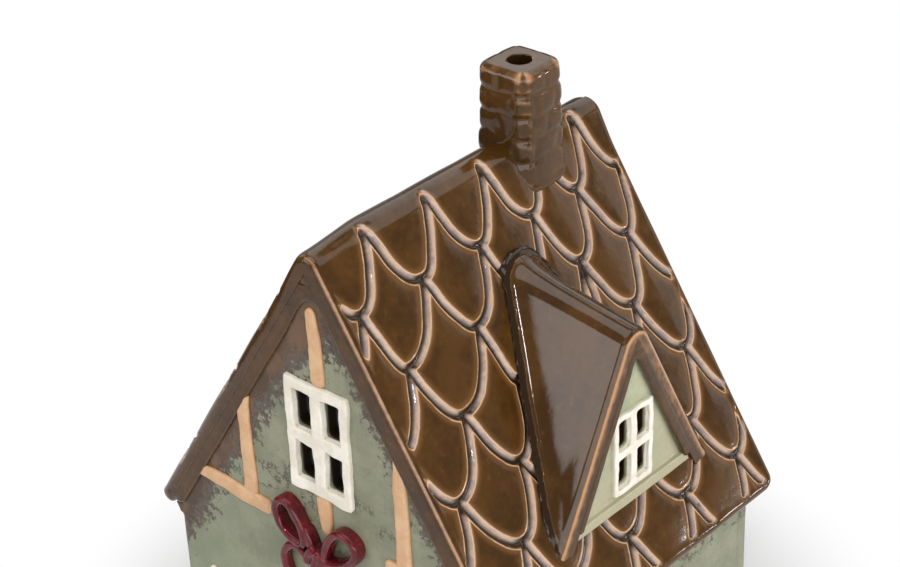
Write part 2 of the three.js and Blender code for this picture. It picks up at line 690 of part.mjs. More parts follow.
// Front door
function frontDoor() {
  const half = DOOR_WIDTH / 2;
  const spring = DOOR_HEIGHT - DOOR_ARCH_RISE;
  const shape = new THREE.Shape();
  shape.moveTo(-half, 0);
  shape.lineTo(half, 0);
  shape.lineTo(half, spring);
  shape.absellipse(0, spring, half, DOOR_ARCH_RISE, 0, Math.PI);
  const planks = [];
  for (let i = 1; i < PLANK_COUNT; i++) {
    const x = (i / PLANK_COUNT - 0.5) * DOOR_WIDTH;
    planks.push(
      boxBetween(
        [x - PLANK_GROOVE / 2, -1, DOOR_RELIEF - PLANK_GROOVE * 0.75],
        [x + PLANK_GROOVE / 2, DOOR_HEIGHT + 1, DOOR_RELIEF + 1],
        onFront,
      ),
    );
  }
  return relief(shape, DOOR_RELIEF, 0.4, onFront, 8).subtract(wasm.Manifold.union(planks));
}

function doorKnob() {
  const profile = [
    [0, 0],
    [0.7, 0],
    [0.7, 0.35],
    [1, 0.8],
    [0.85, 1.4],
    [0.45, 1.75],
    [0, 1.85],
  ].map(([r, z]) => new THREE.Vector2(r * KNOB_RADIUS, z * KNOB_RADIUS));
  const plankMiddle = DOOR_WIDTH * (0.5 - 0.5 / PLANK_COUNT);
  const place = new THREE.Matrix4().makeTranslation(
    Math.min(plankMiddle, DOOR_WIDTH / 2 - KNOB_INSET / 2), KNOB_HEIGHT, DOOR_RELIEF,
  );
  return solid(new THREE.LatheGeometry(profile, 16).rotateX(Math.PI / 2), onFront.clone().multiply(place));
}

// Bow
const loopTilt = (side) =>
  THREE.MathUtils.degToRad(side > 0 ? RIGHT_LOOP_TILT_DEGREES : LEFT_LOOP_TILT_DEGREES);

// How far a loop reaches from the middle of the house, sideways
function bowReach(side) {
  const tilt = loopTilt(side);
  const along = (BOW_LOOP_LENGTH / 2) * Math.cos(tilt);
  return side * BOW_X + along + Math.hypot(along, (BOW_LOOP_WIDTH / 2) * Math.sin(tilt));
}

function bowKnot(gap) {
  const shape = roundedRectangle(KNOT_WIDTH + 2 * gap, KNOT_HEIGHT + 2 * gap, 1.6 + gap, BOW_X, bowZ);
  return relief(shape, KNOT_DEPTH + gap, gap ? 0.01 : 1.1, onFront);
}

// A loop of the bow, or with a gap the filled room that has to be kept clear of its neighbours.
function bowLoop(side, gap = 0) {
  const ring = new THREE.Shape();
  const [long, wide] = [BOW_LOOP_LENGTH / 2, BOW_LOOP_WIDTH / 2];
  ring.absellipse(long, 0, long + gap, wide + gap, 0, Math.PI * 2);
  const hole = new THREE.Path();
  hole.absellipse(long, 0, long - BOW_STRIP_WIDTH, wide - BOW_STRIP_WIDTH, 0, Math.PI * 2);
  if (!gap) ring.holes = [hole];
  const tilt = loopTilt(side);
  const place = new THREE.Matrix4()
    .makeTranslation(BOW_X, bowZ, 0)
    .multiply(new THREE.Matrix4().makeRotationZ(side > 0 ? tilt : Math.PI - tilt));
  return relief(ring, BOW_STRIP_DEPTH + gap, gap ? 0.01 : 0.8, onFront.clone().multiply(place), 12);
}

function bowTail(side) {
  const half = BOW_STRIP_WIDTH / 2;
  const middle = new THREE.QuadraticBezierCurve(
    new THREE.Vector2(0, 0),
    new THREE.Vector2(side * BOW_TAIL_REACH * 0.35, -BOW_TAIL_DROP * 0.75),
    new THREE.Vector2(side * BOW_TAIL_REACH, -BOW_TAIL_DROP),
  );
  const left = [];
  const right = [];
  for (let i = 0; i <= 6; i++) {
    const along = middle.getTangent(i / 6);
    const out = new THREE.Vector2(-along.y, along.x).multiplyScalar(half * (0.8 + i / 18));
    const at = middle.getPoint(i / 6).add(new THREE.Vector2(BOW_X, bowZ));
    left.push(at.clone().sub(out));
    right.unshift(at.clone().add(out));
  }
  return relief(new THREE.Shape([...left, ...right]), BOW_STRIP_DEPTH * 0.8, 0.6, onFront);
}

const railInner = Math.max(bowReach(-1), bowReach(1)) + LOFT_RAIL_BOW_GAP;
const railOuter = halfWidth - LOFT_RAIL_INSET;
const knotRoom = bowKnot(SLIP_GAP);
const loopRoom = bowLoop(-1, SLIP_GAP).add(bowLoop(1, SLIP_GAP));
const bowRoom = knotRoom.add(loopRoom);
const leftLoop = bowLoop(-1).subtract(knotRoom);
const rightLoop = bowLoop(1).subtract(knotRoom).subtract(bowLoop(-1, SLIP_GAP));
const leftTail = bowTail(-1).subtract(bowRoom);
const rightTail = bowTail(1).subtract(bowRoom);

const kingPostUpper = post(
  gableWindow.x, gableWindow.y + gableWindowHalf, ridgeTopZ - KING_POST_DROP,
);
const kingPostLower = post(
  gableWindow.x, bowZ + KNOT_HEIGHT, gableWindow.y - gableWindowHalf,
).subtract(bowRoom);

// Tea light, standing on the floor in the middle of the house
function turned(profile, segments = 24) {
  const points = profile.map(([r, z]) => new THREE.Vector2(r, z + FLOOR_THICKNESS));
  return solid(new THREE.LatheGeometry(points, segments).rotateX(Math.PI / 2));
}

const tabFace = CUP_WALL + WICK_TAB_THICKNESS;
const neckRadius = WICK_RADIUS + WICK_NECK_WALL;
const cup = turned([
  [0, 0],
  [CUP_RADIUS - CUP_FOOT_ROUND, 0],
  [CUP_RADIUS, CUP_FOOT_ROUND],
  [CUP_RADIUS, CUP_HEIGHT],
  [CUP_RADIUS - CUP_WALL, CUP_HEIGHT],
  [CUP_RADIUS - CUP_WALL, CUP_FOOT_ROUND + CUP_WALL],
  [CUP_RADIUS - CUP_WALL - CUP_FOOT_ROUND, CUP_WALL],
  [0, CUP_WALL],
]);
const waxRadius = CUP_RADIUS - CUP_WALL - WAX_GAP;
const wax = turned([
  [WICK_TAB_RADIUS + WAX_GAP, CUP_WALL],
  [waxRadius - CUP_FOOT_ROUND, CUP_WALL],
  [waxRadius, CUP_WALL + CUP_FOOT_ROUND + WAX_GAP],
  [waxRadius, WAX_HEIGHT],
  [WICK_RADIUS + WAX_GAP, WAX_HEIGHT],
  [WICK_RADIUS + WAX_GAP, tabFace + WICK_NECK_HEIGHT + WAX_GAP],
  [neckRadius + WAX_GAP, tabFace + WICK_NECK_HEIGHT + WAX_GAP],
  [neckRadius + WAX_GAP, tabFace + WAX_GAP],
  [WICK_TAB_RADIUS + WAX_GAP, tabFace + WAX_GAP],
  [WICK_TAB_RADIUS + WAX_GAP, CUP_WALL],
]);
const wickFit = 0.05;
const wickTab = turned([
  [0, CUP_WALL],
  [WICK_TAB_RADIUS, CUP_WALL],
  [WICK_TAB_RADIUS, tabFace],
  [neckRadius, tabFace],
  [neckRadius, tabFace + WICK_NECK_HEIGHT],
  [WICK_RADIUS + wickFit, tabFace + WICK_NECK_HEIGHT],
  [WICK_RADIUS + wickFit, tabFace],
  [0, tabFace],
], 16);
const wick = turned([
  [0, tabFace],
  [WICK_RADIUS, tabFace],
  [WICK_RADIUS, WICK_TOP - 0.6],
  [WICK_RADIUS * 0.5, WICK_TOP],
  [0, WICK_TOP],
], 10);

const pieces = [
  ["floor_slab", floorSlab, "bisque"],
  ["wall_front", frontWall, "sage"],
  ["wall_rear", rearWall, "sage"],
  ["wall_left", leftWall, "sage"],
  ["wall_right", rightWall, "sage"],
  ["roof_left", leftRoof, "brown"],
  ["roof_right", rightRoof, "brown"],
  ["chimney", chimney, "brown"],
  ["dormer_roof_front", dormerRoofFront, "brown"],
  ["dormer_roof_rear", dormerRoofRear, "brown"],
  ["dormer_wall", dormerWall, "celadon"],
  ["dormer_window", windowFrame(dormerWindow, onDormer), "white"],
  ["gable_window", windowFrame(gableWindow, onFront), "white"],
  ["ground_window_left", windowFrame(groundWindow(-groundWindowX), onFront), "white"],
  ["ground_window_right", windowFrame(groundWindow(groundWindowX), onFront), "white"],
  ["side_window_left", windowFrame(groundWindow(0), onLeft), "white"],
  ["side_window_right", windowFrame(groundWindow(0), onRight), "white"],
  ["door", frontDoor(), "brown"],
  ["door_knob", doorKnob(), "peach"],
  ["king_post_upper", kingPostUpper, "peach"],
  ["king_post_lower", kingPostLower, "peach"],
  ["post_left", post(-loftPostX, railTop, ridgeTopZ), "peach"],
  ["post_right", post(loftPostX, railTop, ridgeTopZ), "peach"],
  ["rail_left", rail(-railOuter, -railInner), "peach"],
  ["rail_right", rail(railInner, railOuter), "peach"],
  ["side_rail_left_front", sideRail(sideWindowHalf, innerHalfDepth, onLeft), "peach"],
  ["side_rail_left_rear", sideRail(-innerHalfDepth, -sideWindowHalf, onLeft), "peach"],
  ["side_rail_right_front", sideRail(-innerHalfDepth, -sideWindowHalf, onRight), "peach"],
  ["side_rail_right_rear", sideRail(sideWindowHalf, innerHalfDepth, onRight), "peach"],
  ["bow_loop_left", leftLoop, "red"],
  ["bow_loop_right", rightLoop, "red"],
  ["bow_knot", bowKnot(0), "red"],
  ["bow_tail_left", leftTail, "red"],
  ["bow_tail_right", rightTail, "red"],
  ["tea_light_cup", cup, "aluminium"],
  ["tea_light_wax", wax, "wax"],
  ["wick_tab", wickTab, "aluminium"],
  ["wick", wick, "cotton"],
];

const house = new THREE.Group();
house.name = "house_tea_light_holder";
for (const [name, body, glaze] of pieces) {
  const mesh = new THREE.Mesh(geometryOf(body), new THREE.MeshStandardMaterial(GLAZES[glaze]));
  mesh.name = name;
  house.add(mesh);
}

export default house;
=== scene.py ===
# Looks of the house tea light holder: hand-built stoneware slabs under thick glossy glazes, seen from
# the front right and above. The house's sizes are millimetres, turned to metres as each mesh is made.
import math

import bmesh
import bpy
import numpy as np
from mathutils import Matrix, Vector, noise


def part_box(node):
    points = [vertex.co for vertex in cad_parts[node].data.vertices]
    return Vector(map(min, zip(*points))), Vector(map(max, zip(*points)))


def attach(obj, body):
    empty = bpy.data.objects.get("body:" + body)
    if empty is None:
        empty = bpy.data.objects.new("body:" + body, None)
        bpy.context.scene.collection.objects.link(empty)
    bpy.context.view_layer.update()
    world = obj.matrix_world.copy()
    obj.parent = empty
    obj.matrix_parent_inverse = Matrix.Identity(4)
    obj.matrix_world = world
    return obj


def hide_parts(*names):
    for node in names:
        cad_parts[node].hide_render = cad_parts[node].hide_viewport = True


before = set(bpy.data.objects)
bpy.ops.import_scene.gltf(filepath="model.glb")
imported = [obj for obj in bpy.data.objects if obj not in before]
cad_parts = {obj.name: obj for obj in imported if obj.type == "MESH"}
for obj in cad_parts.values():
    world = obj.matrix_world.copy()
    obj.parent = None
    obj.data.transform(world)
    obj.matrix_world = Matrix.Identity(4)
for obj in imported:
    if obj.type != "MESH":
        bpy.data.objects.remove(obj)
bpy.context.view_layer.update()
MM = 0.001

# The photographer's stand: a camera on the right of the front gable, a pale table that runs out to
# white, two soft lamps and two small ones that spark in the glaze, and panels that the glaze mirrors.
# The table and the lamps are measured in metres, and directions in degrees.
CAMERA_AZIMUTH, CAMERA_ELEVATION, CAMERA_ROLL = 41.97, 29.94, -2.04
CAMERA_DISTANCE = 546.8
CAMERA_TARGET = (0, 0, 110.86)
IMAGE_WIDTH = 900
FOCAL_PIXELS = 2288.2
SHIFT_PIXELS = -8.0
SENSOR = 36


def direction(azimuth, elevation):
    """The way out from the house. Azimuth 0 is in front of the gable, and 90 on the right."""
    az, el = math.radians(azimuth), math.radians(elevation)
    return Vector((math.sin(az) * math.cos(el), -math.cos(az) * math.cos(el), math.sin(el)))


def new_object(name, data):
    made = bpy.data.objects.new(name, data)
    bpy.context.scene.collection.objects.link(made)
    return made


def aim_camera():
    back = direction(CAMERA_AZIMUTH, CAMERA_ELEVATION)
    level = direction(CAMERA_AZIMUTH + 90, 0)
    upright = back.cross(level)
    roll = math.radians(CAMERA_ROLL)
    right = math.cos(roll) * level + math.sin(roll) * upright
    up = math.cos(roll) * upright - math.sin(roll) * level
    data = bpy.data.cameras.new("camera")
    data.sensor_width = SENSOR
    data.lens = FOCAL_PIXELS * SENSOR / IMAGE_WIDTH
    data.shift_x = SHIFT_PIXELS / IMAGE_WIDTH
    data.clip_start, data.clip_end = 0.01, 20
    camera = new_object("camera", data)
    place = (Vector(CAMERA_TARGET) + CAMERA_DISTANCE * back) * MM
    camera.matrix_world = Matrix.Translation(place) @ Matrix((right, up, back)).transposed().to_4x4()
    bpy.context.scene.camera = camera


def new_material(name):
    """A material with an empty tree, and its Principled shader joined to the output."""
    material = bpy.data.materials.new(name)
    material.use_nodes = True
    tree = material.node_tree
    tree.nodes.clear()
    output = tree.nodes.new("ShaderNodeOutputMaterial")
    shader = tree.nodes.new("ShaderNodeBsdfPrincipled")
    tree.links.new(shader.outputs[0], output.inputs["Surface"])
    return material, tree, shader


def set_input(tree, socket, value):
    """Joins a node's input to another socket, or gives it a plain value."""
    if isinstance(value, bpy.types.NodeSocket):
        tree.links.new(value, socket)
    else:
        socket.default_value = (*value[:3], 1) if socket.type == "RGBA" else value


def put(tree, kind, **values):
    """A node by its full kind. Values name its properties, or its inputs by their labels."""
    node = tree.nodes.new(kind)
    for key, value in values.items():
        if hasattr(node, key):
            setattr(node, key, value)
        else:
            set_input(tree, node.inputs[key.replace("_", " ")], value)
    return node


def add(tree, kind, **values):
    return put(tree, "ShaderNode" + kind, **values)


def math_node(tree, operation, *values):
    node = add(tree, "Math", operation=operation)
    for socket, value in zip(node.inputs, values):
        set_input(tree, socket, value)
    return node.outputs[0]


def ramp(tree, value, low, high, to_low=0.0, to_high=1.0):
    """Smooth step of a value between two limits."""
    node = add(
        tree, "MapRange", interpolation_type="SMOOTHSTEP", Value=value, From_Min=low, From_Max=high,
        To_Min=to_low, To_Max=to_high,
    )
    return node.outputs["Result"]


# Places of a Mix node's first value and of its result among its sockets
MIX_SOCKETS = {"FLOAT": (2, 0), "RGBA": (6, 2)}


def blend(tree, share, first, second, kind="FLOAT"):
    node = add(tree, "Mix", data_type=kind)
    start, result = MIX_SOCKETS[kind]
    for index, value in ((0, share), (start, first), (start + 1, second)):
        set_input(tree, node.inputs[index], value)
    return node.outputs[result]


def object_place(tree):
    return add(tree, "TexCoord").outputs["Object"]


def azimuth_of(tree, x, y):
    """Azimuth of a place or a way, in radians."""
    return math_node(tree, "ARCTAN2", x, math_node(tree, "MULTIPLY", y, -1))


def ray_kinds(tree):
    """Masks of the rays that see the background as it is, and of those that a glaze mirrors."""
    path = add(tree, "LightPath").outputs
    seen = math_node(tree, "MAXIMUM", path["Is Camera Ray"], path["Is Transmission Ray"])
    return seen, path["Is Glossy Ray"]


TABLE_RADIUS = 3.0
TABLE_GREY = 0.86
TABLE_FADE = (0.07, 0.12)  # distances from the middle between which the table turns plain white
FLOOR_MIRRORED = 0.58  # brightness of the table in the glazes, where no black flag hides it
FLAG_AZIMUTH = -76
FLAG_SIDE = (38, 46)  # half width of the flag, from full black to none
FLAG_START = (0.27, 0.33)  # distances from the middle between which the flag begins
FLAG_GREY = 0.05


def build_floor():
    bpy.ops.mesh.primitive_circle_add(vertices=96, radius=TABLE_RADIUS, fill_type="NGON")
    floor = bpy.context.object
    floor.name = "floor"
    material, tree, shader = new_material("painted_bank_sheen_table")
    shader.inputs["Base Color"].default_value = (TABLE_GREY, TABLE_GREY, TABLE_GREY, 1)
    shader.inputs["Roughness"].default_value = 0.7
    place = object_place(tree)
    away = add(tree, "VectorMath", operation="LENGTH", Vector=place).outputs["Value"]
    x, y, _ = add(tree, "SeparateXYZ", Vector=place).outputs
    off_flag = math_node(tree, "SUBTRACT", azimuth_of(tree, x, y), math.radians(FLAG_AZIMUTH))
    off_flag = math_node(tree, "ABSOLUTE", off_flag)
    beside = ramp(tree, off_flag, *(math.radians(v) for v in FLAG_SIDE))
    level = math_node(tree, "MAXIMUM", beside, ramp(tree, away, *FLAG_START, 1, 0))
    level = math_node(tree, "MULTIPLY_ADD", level, FLOOR_MIRRORED, FLAG_GREY)
    seen, mirrored = ray_kinds(tree)
    glow = add(tree, "Emission", Color=(1, 1, 1), Strength=math_node(tree, "MAXIMUM", level, seen))
    shown = math_node(tree, "MAXIMUM", seen, mirrored)
    share = math_node(tree, "MULTIPLY", ramp(tree, away, *TABLE_FADE), shown)
    mixed = add(tree, "MixShader")
    for socket, value in zip(mixed.inputs, (share, shader.outputs[0], glow.outputs[0])):
        tree.links.new(value, socket)
    tree.links.new(mixed.outputs[0], tree.nodes["Material Output"].inputs["Surface"])
    floor.data.materials.append(material)


LAMP_AIM = 0.08  # height on the house that the lamps face


def build_lamp(name, azimuth, elevation, distance, size, power, glossy=True):
    way = direction(azimuth, elevation)
    data = bpy.data.lights.new(name, "AREA")
    data.size = size
    data.energy = power
    lamp = new_object(name, data)
    lamp.location = Vector((0, 0, LAMP_AIM)) + distance * way
    lamp.rotation_mode = "QUATERNION"
    lamp.rotation_quaternion = way.to_track_quat("Z", "Y")
    lamp.visible_glossy = glossy


# Panels that the glazes mirror: azimuth, elevation, half width, half height and brightness
PANELS = (
    (-30, 16, 18, 10, 2.6),  # front left
    (38, 8, 32, 15, 2.2),  # front right
    (92, 4, 18, 10, 1.4),  # right
    (154, 41, 28, 14, 1.15),  # over the ridge
    (146, 11, 10, 10, 1.0),  # rear right
    (-150, 38, 32, 16, 1.35),  # back left
    (-112, 20, 20, 16, 0.5),  # left
    (0, 88, 26, 24, 1.8),  # overhead
)
PANEL_SOFTNESS = 3
OVERHEAD = 80  # elevation past which a panel reaches all round
STUDIO_GREY = 0.16
FILL_LIGHT = 0.6
FILL_FROM_RIGHT = 0.2


def build_world():
    world = bpy.data.worlds.new("studio")
    bpy.context.scene.world = world
    world.use_nodes = True
    tree = world.node_tree
    tree.nodes.clear()
    x, y, z = add(tree, "SeparateXYZ", Vector=add(tree, "TexCoord").outputs["Generated"]).outputs
    height = math_node(tree, "ARCSINE", z)
    turn = azimuth_of(tree, x, y)
    light = STUDIO_GREY
    for azimuth, elevation, half_wide, half_high, panel in PANELS:
        off = math_node(tree, "SUBTRACT", turn, math.radians(azimuth))
        off = 0.0 if elevation > OVERHEAD else math_node(tree, "WRAP", off, math.pi, -math.pi)
        rise = math_node(tree, "SUBTRACT", height, math.radians(elevation))
        for value, half in ((off, half_wide), (rise, half_high)):
            limits = (math.radians(half + soft) for soft in (-PANEL_SOFTNESS, PANEL_SOFTNESS))
            inside = ramp(tree, math_node(tree, "ABSOLUTE", value), *limits, 1, 0)
            panel = math_node(tree, "MULTIPLY", inside, panel)
        light = math_node(tree, "MAXIMUM", light, panel)
    seen, mirrored = ray_kinds(tree)
    level = blend(tree, mirrored, math_node(tree, "MULTIPLY_ADD", x, FILL_FROM_RIGHT, FILL_LIGHT), light)
    background = add(tree, "Background", Color=(1, 1, 1), Strength=blend(tree, seen, level, 1.0))
    tree.links.new(background.outputs[0], add(tree, "OutputWorld").inputs[0])


aim_camera()
build_floor()
build_world()
build_lamp("key", -30, 48, 1.2, 0.7, 5, glossy=False)
build_lamp("fill", 80, 26, 1.3, 0.8, 9.5, glossy=False)
build_lamp("spark", 36, 44, 1.4, 0.07, 1.2)
build_lamp("rear_spark", 133, 3, 1.4, 0.1, 0.8)
bpy.context.scene.view_settings.view_transform = "Standard"

# Roof slabs: two thick slabs of clay that lean together at the ridge, with rows of round-ended tiles
# pressed into them as grooves. Brown glaze pools in the grooves and breaks to tan on their rims; the grooves'
# floors also carry painted shade, and their banks that face the front a painted pale reflection.
ROOF_PITCH = math.radians(57.3)
ROOF_THICKNESS = 4.6
RIDGE_ROUND = 4.5
EAVE_ROUND = 1.8
EAVE_INSET = 0.05
VERGE_ROUND = 1.7
LEFT_VERGE_ROUND = 3.4
LEFT_VERGE_RUN = 26  # way down the slope on which the left verge's rounding grows to its full size
UNDER_DRAW = 0.15  # share of the verge's rounding that its lower edge gets
EAVE_CORNER_ROUND = 3.6
RIDGE_START = 0.004  # turn of a narrow first step over a ridge, so that two slabs shade as one
ROUND_STEPS = np.array([0, 0.03, 0.08, 0.16, 0.27, 0.42, 0.6, 0.8, 1])  # sections over a rounded end
RIDGE_SWELL = 1.5
REAR_SWELL = 1.1
GRID = 0.36
GROOVE_HALF_WIDTH = 1.15
GROOVE_DEPTH = 1.15
GROOVE_FLOOR_ROUND = 0.3
GROOVE_RIM_ROUND = 0.1
NO_GROOVE = 9.0  # distance that is stored where no groove is near
LIP_HEIGHT = 0.07
LIP_WIDTH = 0.35
LIP_OFFSET = 0.2
TILE_SWELL = 0.2
TILE_SWELL_RUN = 2.2
TILE_ROUNDNESS = 2.3
TILE_WIDTH = 19.6
TILE_COURSE = 15.6
TILED_EAVE = 4  # steps round the eave that the tiles' relief still reaches

# Right-hand slope: the tip of each course, down the slope from the ridge, and the middles of its tiles
# from the front verge, listed as the potter set them
RIGHT_COURSES = (
    (20.5, (-13.4, 6.1, 26.6, 46.6, 65.6, 82.6, 98.6, 115.6)),
    (36.3, (-9, 11.35, 35.35, 54.85, 73.35, 91.85, 108)),
    (52, (-0.9, 20.1, 39.1, 58, 70, 83.1, 101.1)),
    (68, (-11.7, 7.9, 29.4, 50.6, 71.8, 92.9, 111)),
    (84, (-2, 19.6, 41, 62, 83.6, 101.6)),
    (98.3, (-13.6, 6.4, 27.9, 48.9, 71.4, 92.9, 112)),
    (113.8, (-4, 17, 38.5, 60, 82.5, 103)),
)

eave_reach, house_end, ridge_top = (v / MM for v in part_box("roof_right")[1])
apex = ridge_top + RIDGE_ROUND / math.cos(ROOF_PITCH) - RIDGE_ROUND
slope_length = (eave_reach - EAVE_ROUND * (1 - math.sin(ROOF_PITCH))) / math.cos(ROOF_PITCH)
slope_length += EAVE_ROUND - EAVE_INSET


def ripple(points, scale, seed=0.0):
    """Smooth noise, about -1 to 1, at points in millimetres."""
    offset = Vector((seed * 17.3, seed * 9.1, seed * 5.7))
    return np.array([noise.noise(Vector(p) / scale + offset) for p in points])


def make_mesh(name, vertices, faces):
    """A smooth object from vertices in millimetres, with its faces turned outwards."""
    mesh = bpy.data.meshes.new(name)
    mesh.from_pydata((np.asarray(vertices, float) * MM).tolist(), [], faces)
    mesh.update()
    made = new_object(name, mesh)
    outward(made)
    shade_smooth(mesh)
    return made


def shade_smooth(mesh):
    mesh.polygons.foreach_set("use_smooth", np.ones(len(mesh.polygons), bool))


def join_rings(rings, closed=False):
    """Vertices and faces of rings with as many points each, which join up or end in two flat caps."""
    index = np.arange(len(rings) * len(rings[0])).reshape(len(rings), -1)
    lower, upper = (index, np.roll(index, -1, 0)) if closed else (index[:-1], index[1:])
    faces = np.stack([lower, np.roll(lower, -1, 1), np.roll(upper, -1, 1), upper], -1).reshape(-1, 4).tolist()
    if not closed:
        faces += [index[0, ::-1].tolist(), index[-1].tolist()]
    return np.concatenate(rings), faces


def outward(made):
    work = bmesh.new()
    work.from_mesh(made.data)
    bmesh.ops.recalc_face_normals(work, faces=work.faces)
    work.to_mesh(made.data)
    work.free()


def vertex_values(made, name):
    """A mesh's vertex positions ("co", in metres) or normals as an array."""
    found = np.zeros(len(made.data.vertices) * 3)
    made.data.vertices.foreach_get(name, found)
    return found.reshape(-1, 3)


def set_attribute(made, name, values):
    attribute = made.data.attributes.new(name, "FLOAT", "POINT")
    attribute.data.foreach_set("value", np.asarray(values, np.float32))


def part_at_ridge(made, axis, level):
    """Keeps the shading of a slab's top apart from that of its mitred edge, which lies on a plane."""
    on_plane = np.abs(vertex_values(made, "co")[:, axis] / MM - level) < 1e-3
    ends = np.zeros(len(made.data.edges) * 2, int)
    made.data.edges.foreach_get("vertices", ends)
    sharp = on_plane[ends.reshape(-1, 2)].all(1)
    made.data.attributes.new("sharp_edge", "BOOLEAN", "EDGE").data.foreach_set("value", sharp)


def flatten_ends(made):
    """Shades the two end faces of a slab, which come last, as flat."""
    for polygon in made.data.polygons[-2:]:
        polygon.use_smooth = False


def settle(made, nodes, material, body="house"):
    """Gives a finished piece its glaze, the CAD nodes that it stands for, if any, and its body."""
    made.data.materials.clear()
    made.data.materials.append(material)
    if nodes:
        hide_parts(*nodes)
    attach(made, body)
    return made


def regular_courses():
    """Middles and tips of the tiles on the left-hand slope, evenly spaced and staggered."""
    courses = []
    for course in range(7):
        start = 4.0 - TILE_WIDTH + (TILE_WIDTH / 2 if course % 2 else 0)
        middles = tuple(start + TILE_WIDTH * i + 0.6 * math.sin(2.1 * i + course) for i in range(7))
        courses.append((20.6 + TILE_COURSE * course, middles))
    return tuple(courses)


def tile_edges(courses, bare_ridge):
    """Short straight stretches along the round lower edge of each tile, as (start, end) pairs."""
    starts, ends = [], []
    for row, (tip, middles) in enumerate(courses):
        for middle in middles:
            for side in (-1, 1):
                if row == 0:  # below the ridge, which stays smooth
                    near = [m for m in middles if (m - middle) * side > 1]
                    reach = (min(abs(m - middle) for m in near) if near else TILE_WIDTH) / 2
                    rise = tip - bare_ridge
                else:
                    upper_tip, upper = courses[row - 1]
                    near = [m for m in upper if (m - middle) * side > 1]
                    reach = min(abs(m - middle) for m in near) if near else TILE_WIDTH / 2
                    rise = tip - upper_tip
                share = np.linspace(0, 1, 13)
                along = middle + side * reach * share
                down = tip - rise * share**TILE_ROUNDNESS
                line = np.stack([along, down], 1)
                starts.append(line[:-1])
                ends.append(line[1:])
    return np.concatenate(starts), np.concatenate(ends)


def distance_to_edges(points, starts, ends):
    """Least distance of each point from the tiles' edges."""
    run = ends - starts
    length = (run**2).sum(1)
    best = np.full(len(points), 1e9)
    for start in range(0, len(points), 4000):
        part = points[start : start + 4000]
        away = part[:, None, :] - starts[None]
        share = np.clip((away * run[None]).sum(2) / length[None], 0, 1)
        gap = away - share[..., None] * run[None]
        best[start : start + 4000] = np.sqrt((gap**2).sum(2).min(1))
    return best


def groove_height(distance):
    """Height of the tiled surface at a distance from a tile's edge."""
    past = distance - GROOVE_HALF_WIDTH
    rounded = np.sqrt(distance**2 + GROOVE_FLOOR_ROUND**2)
    drop = GROOVE_DEPTH * (1 - rounded / GROOVE_HALF_WIDTH)
    trough = -(drop + np.sqrt(drop**2 + GROOVE_RIM_ROUND**2)) / 2
    lip = LIP_HEIGHT * np.exp(-(((past - LIP_OFFSET) / LIP_WIDTH) ** 2))
    return trough + lip - TILE_SWELL * np.exp(-np.maximum(past, 0) / TILE_SWELL_RUN)


def smooth_step(value, low, high):
    share = np.clip((value - low) / (high - low), 0, 1)
    return share * share * (3 - 2 * share)


def rounding(room, radius):
    """How far a rounded edge is drawn back where it has this much room to its end."""
    return radius - np.sqrt(np.maximum(radius**2 - np.maximum(radius - room, 0) ** 2, 0))


def ways(turns):
    """Directions in a slab's section, by their turns from straight up."""
    return np.column_stack([np.sin(turns), np.cos(turns)])


def slab_section(peak, pitch, ridge_round, turns, along, depth):
    """A section round the ridge and on along the slope, below the sharp line that it would have at peak."""
    across, down = math.cos(pitch), math.sin(pitch)
    fold = ridge_round * ways(turns) + (0, peak - ridge_round / across)
    slope = np.column_stack([along * across - depth * down, peak - along * down - depth * across])
    return np.concatenate([fold, slope])


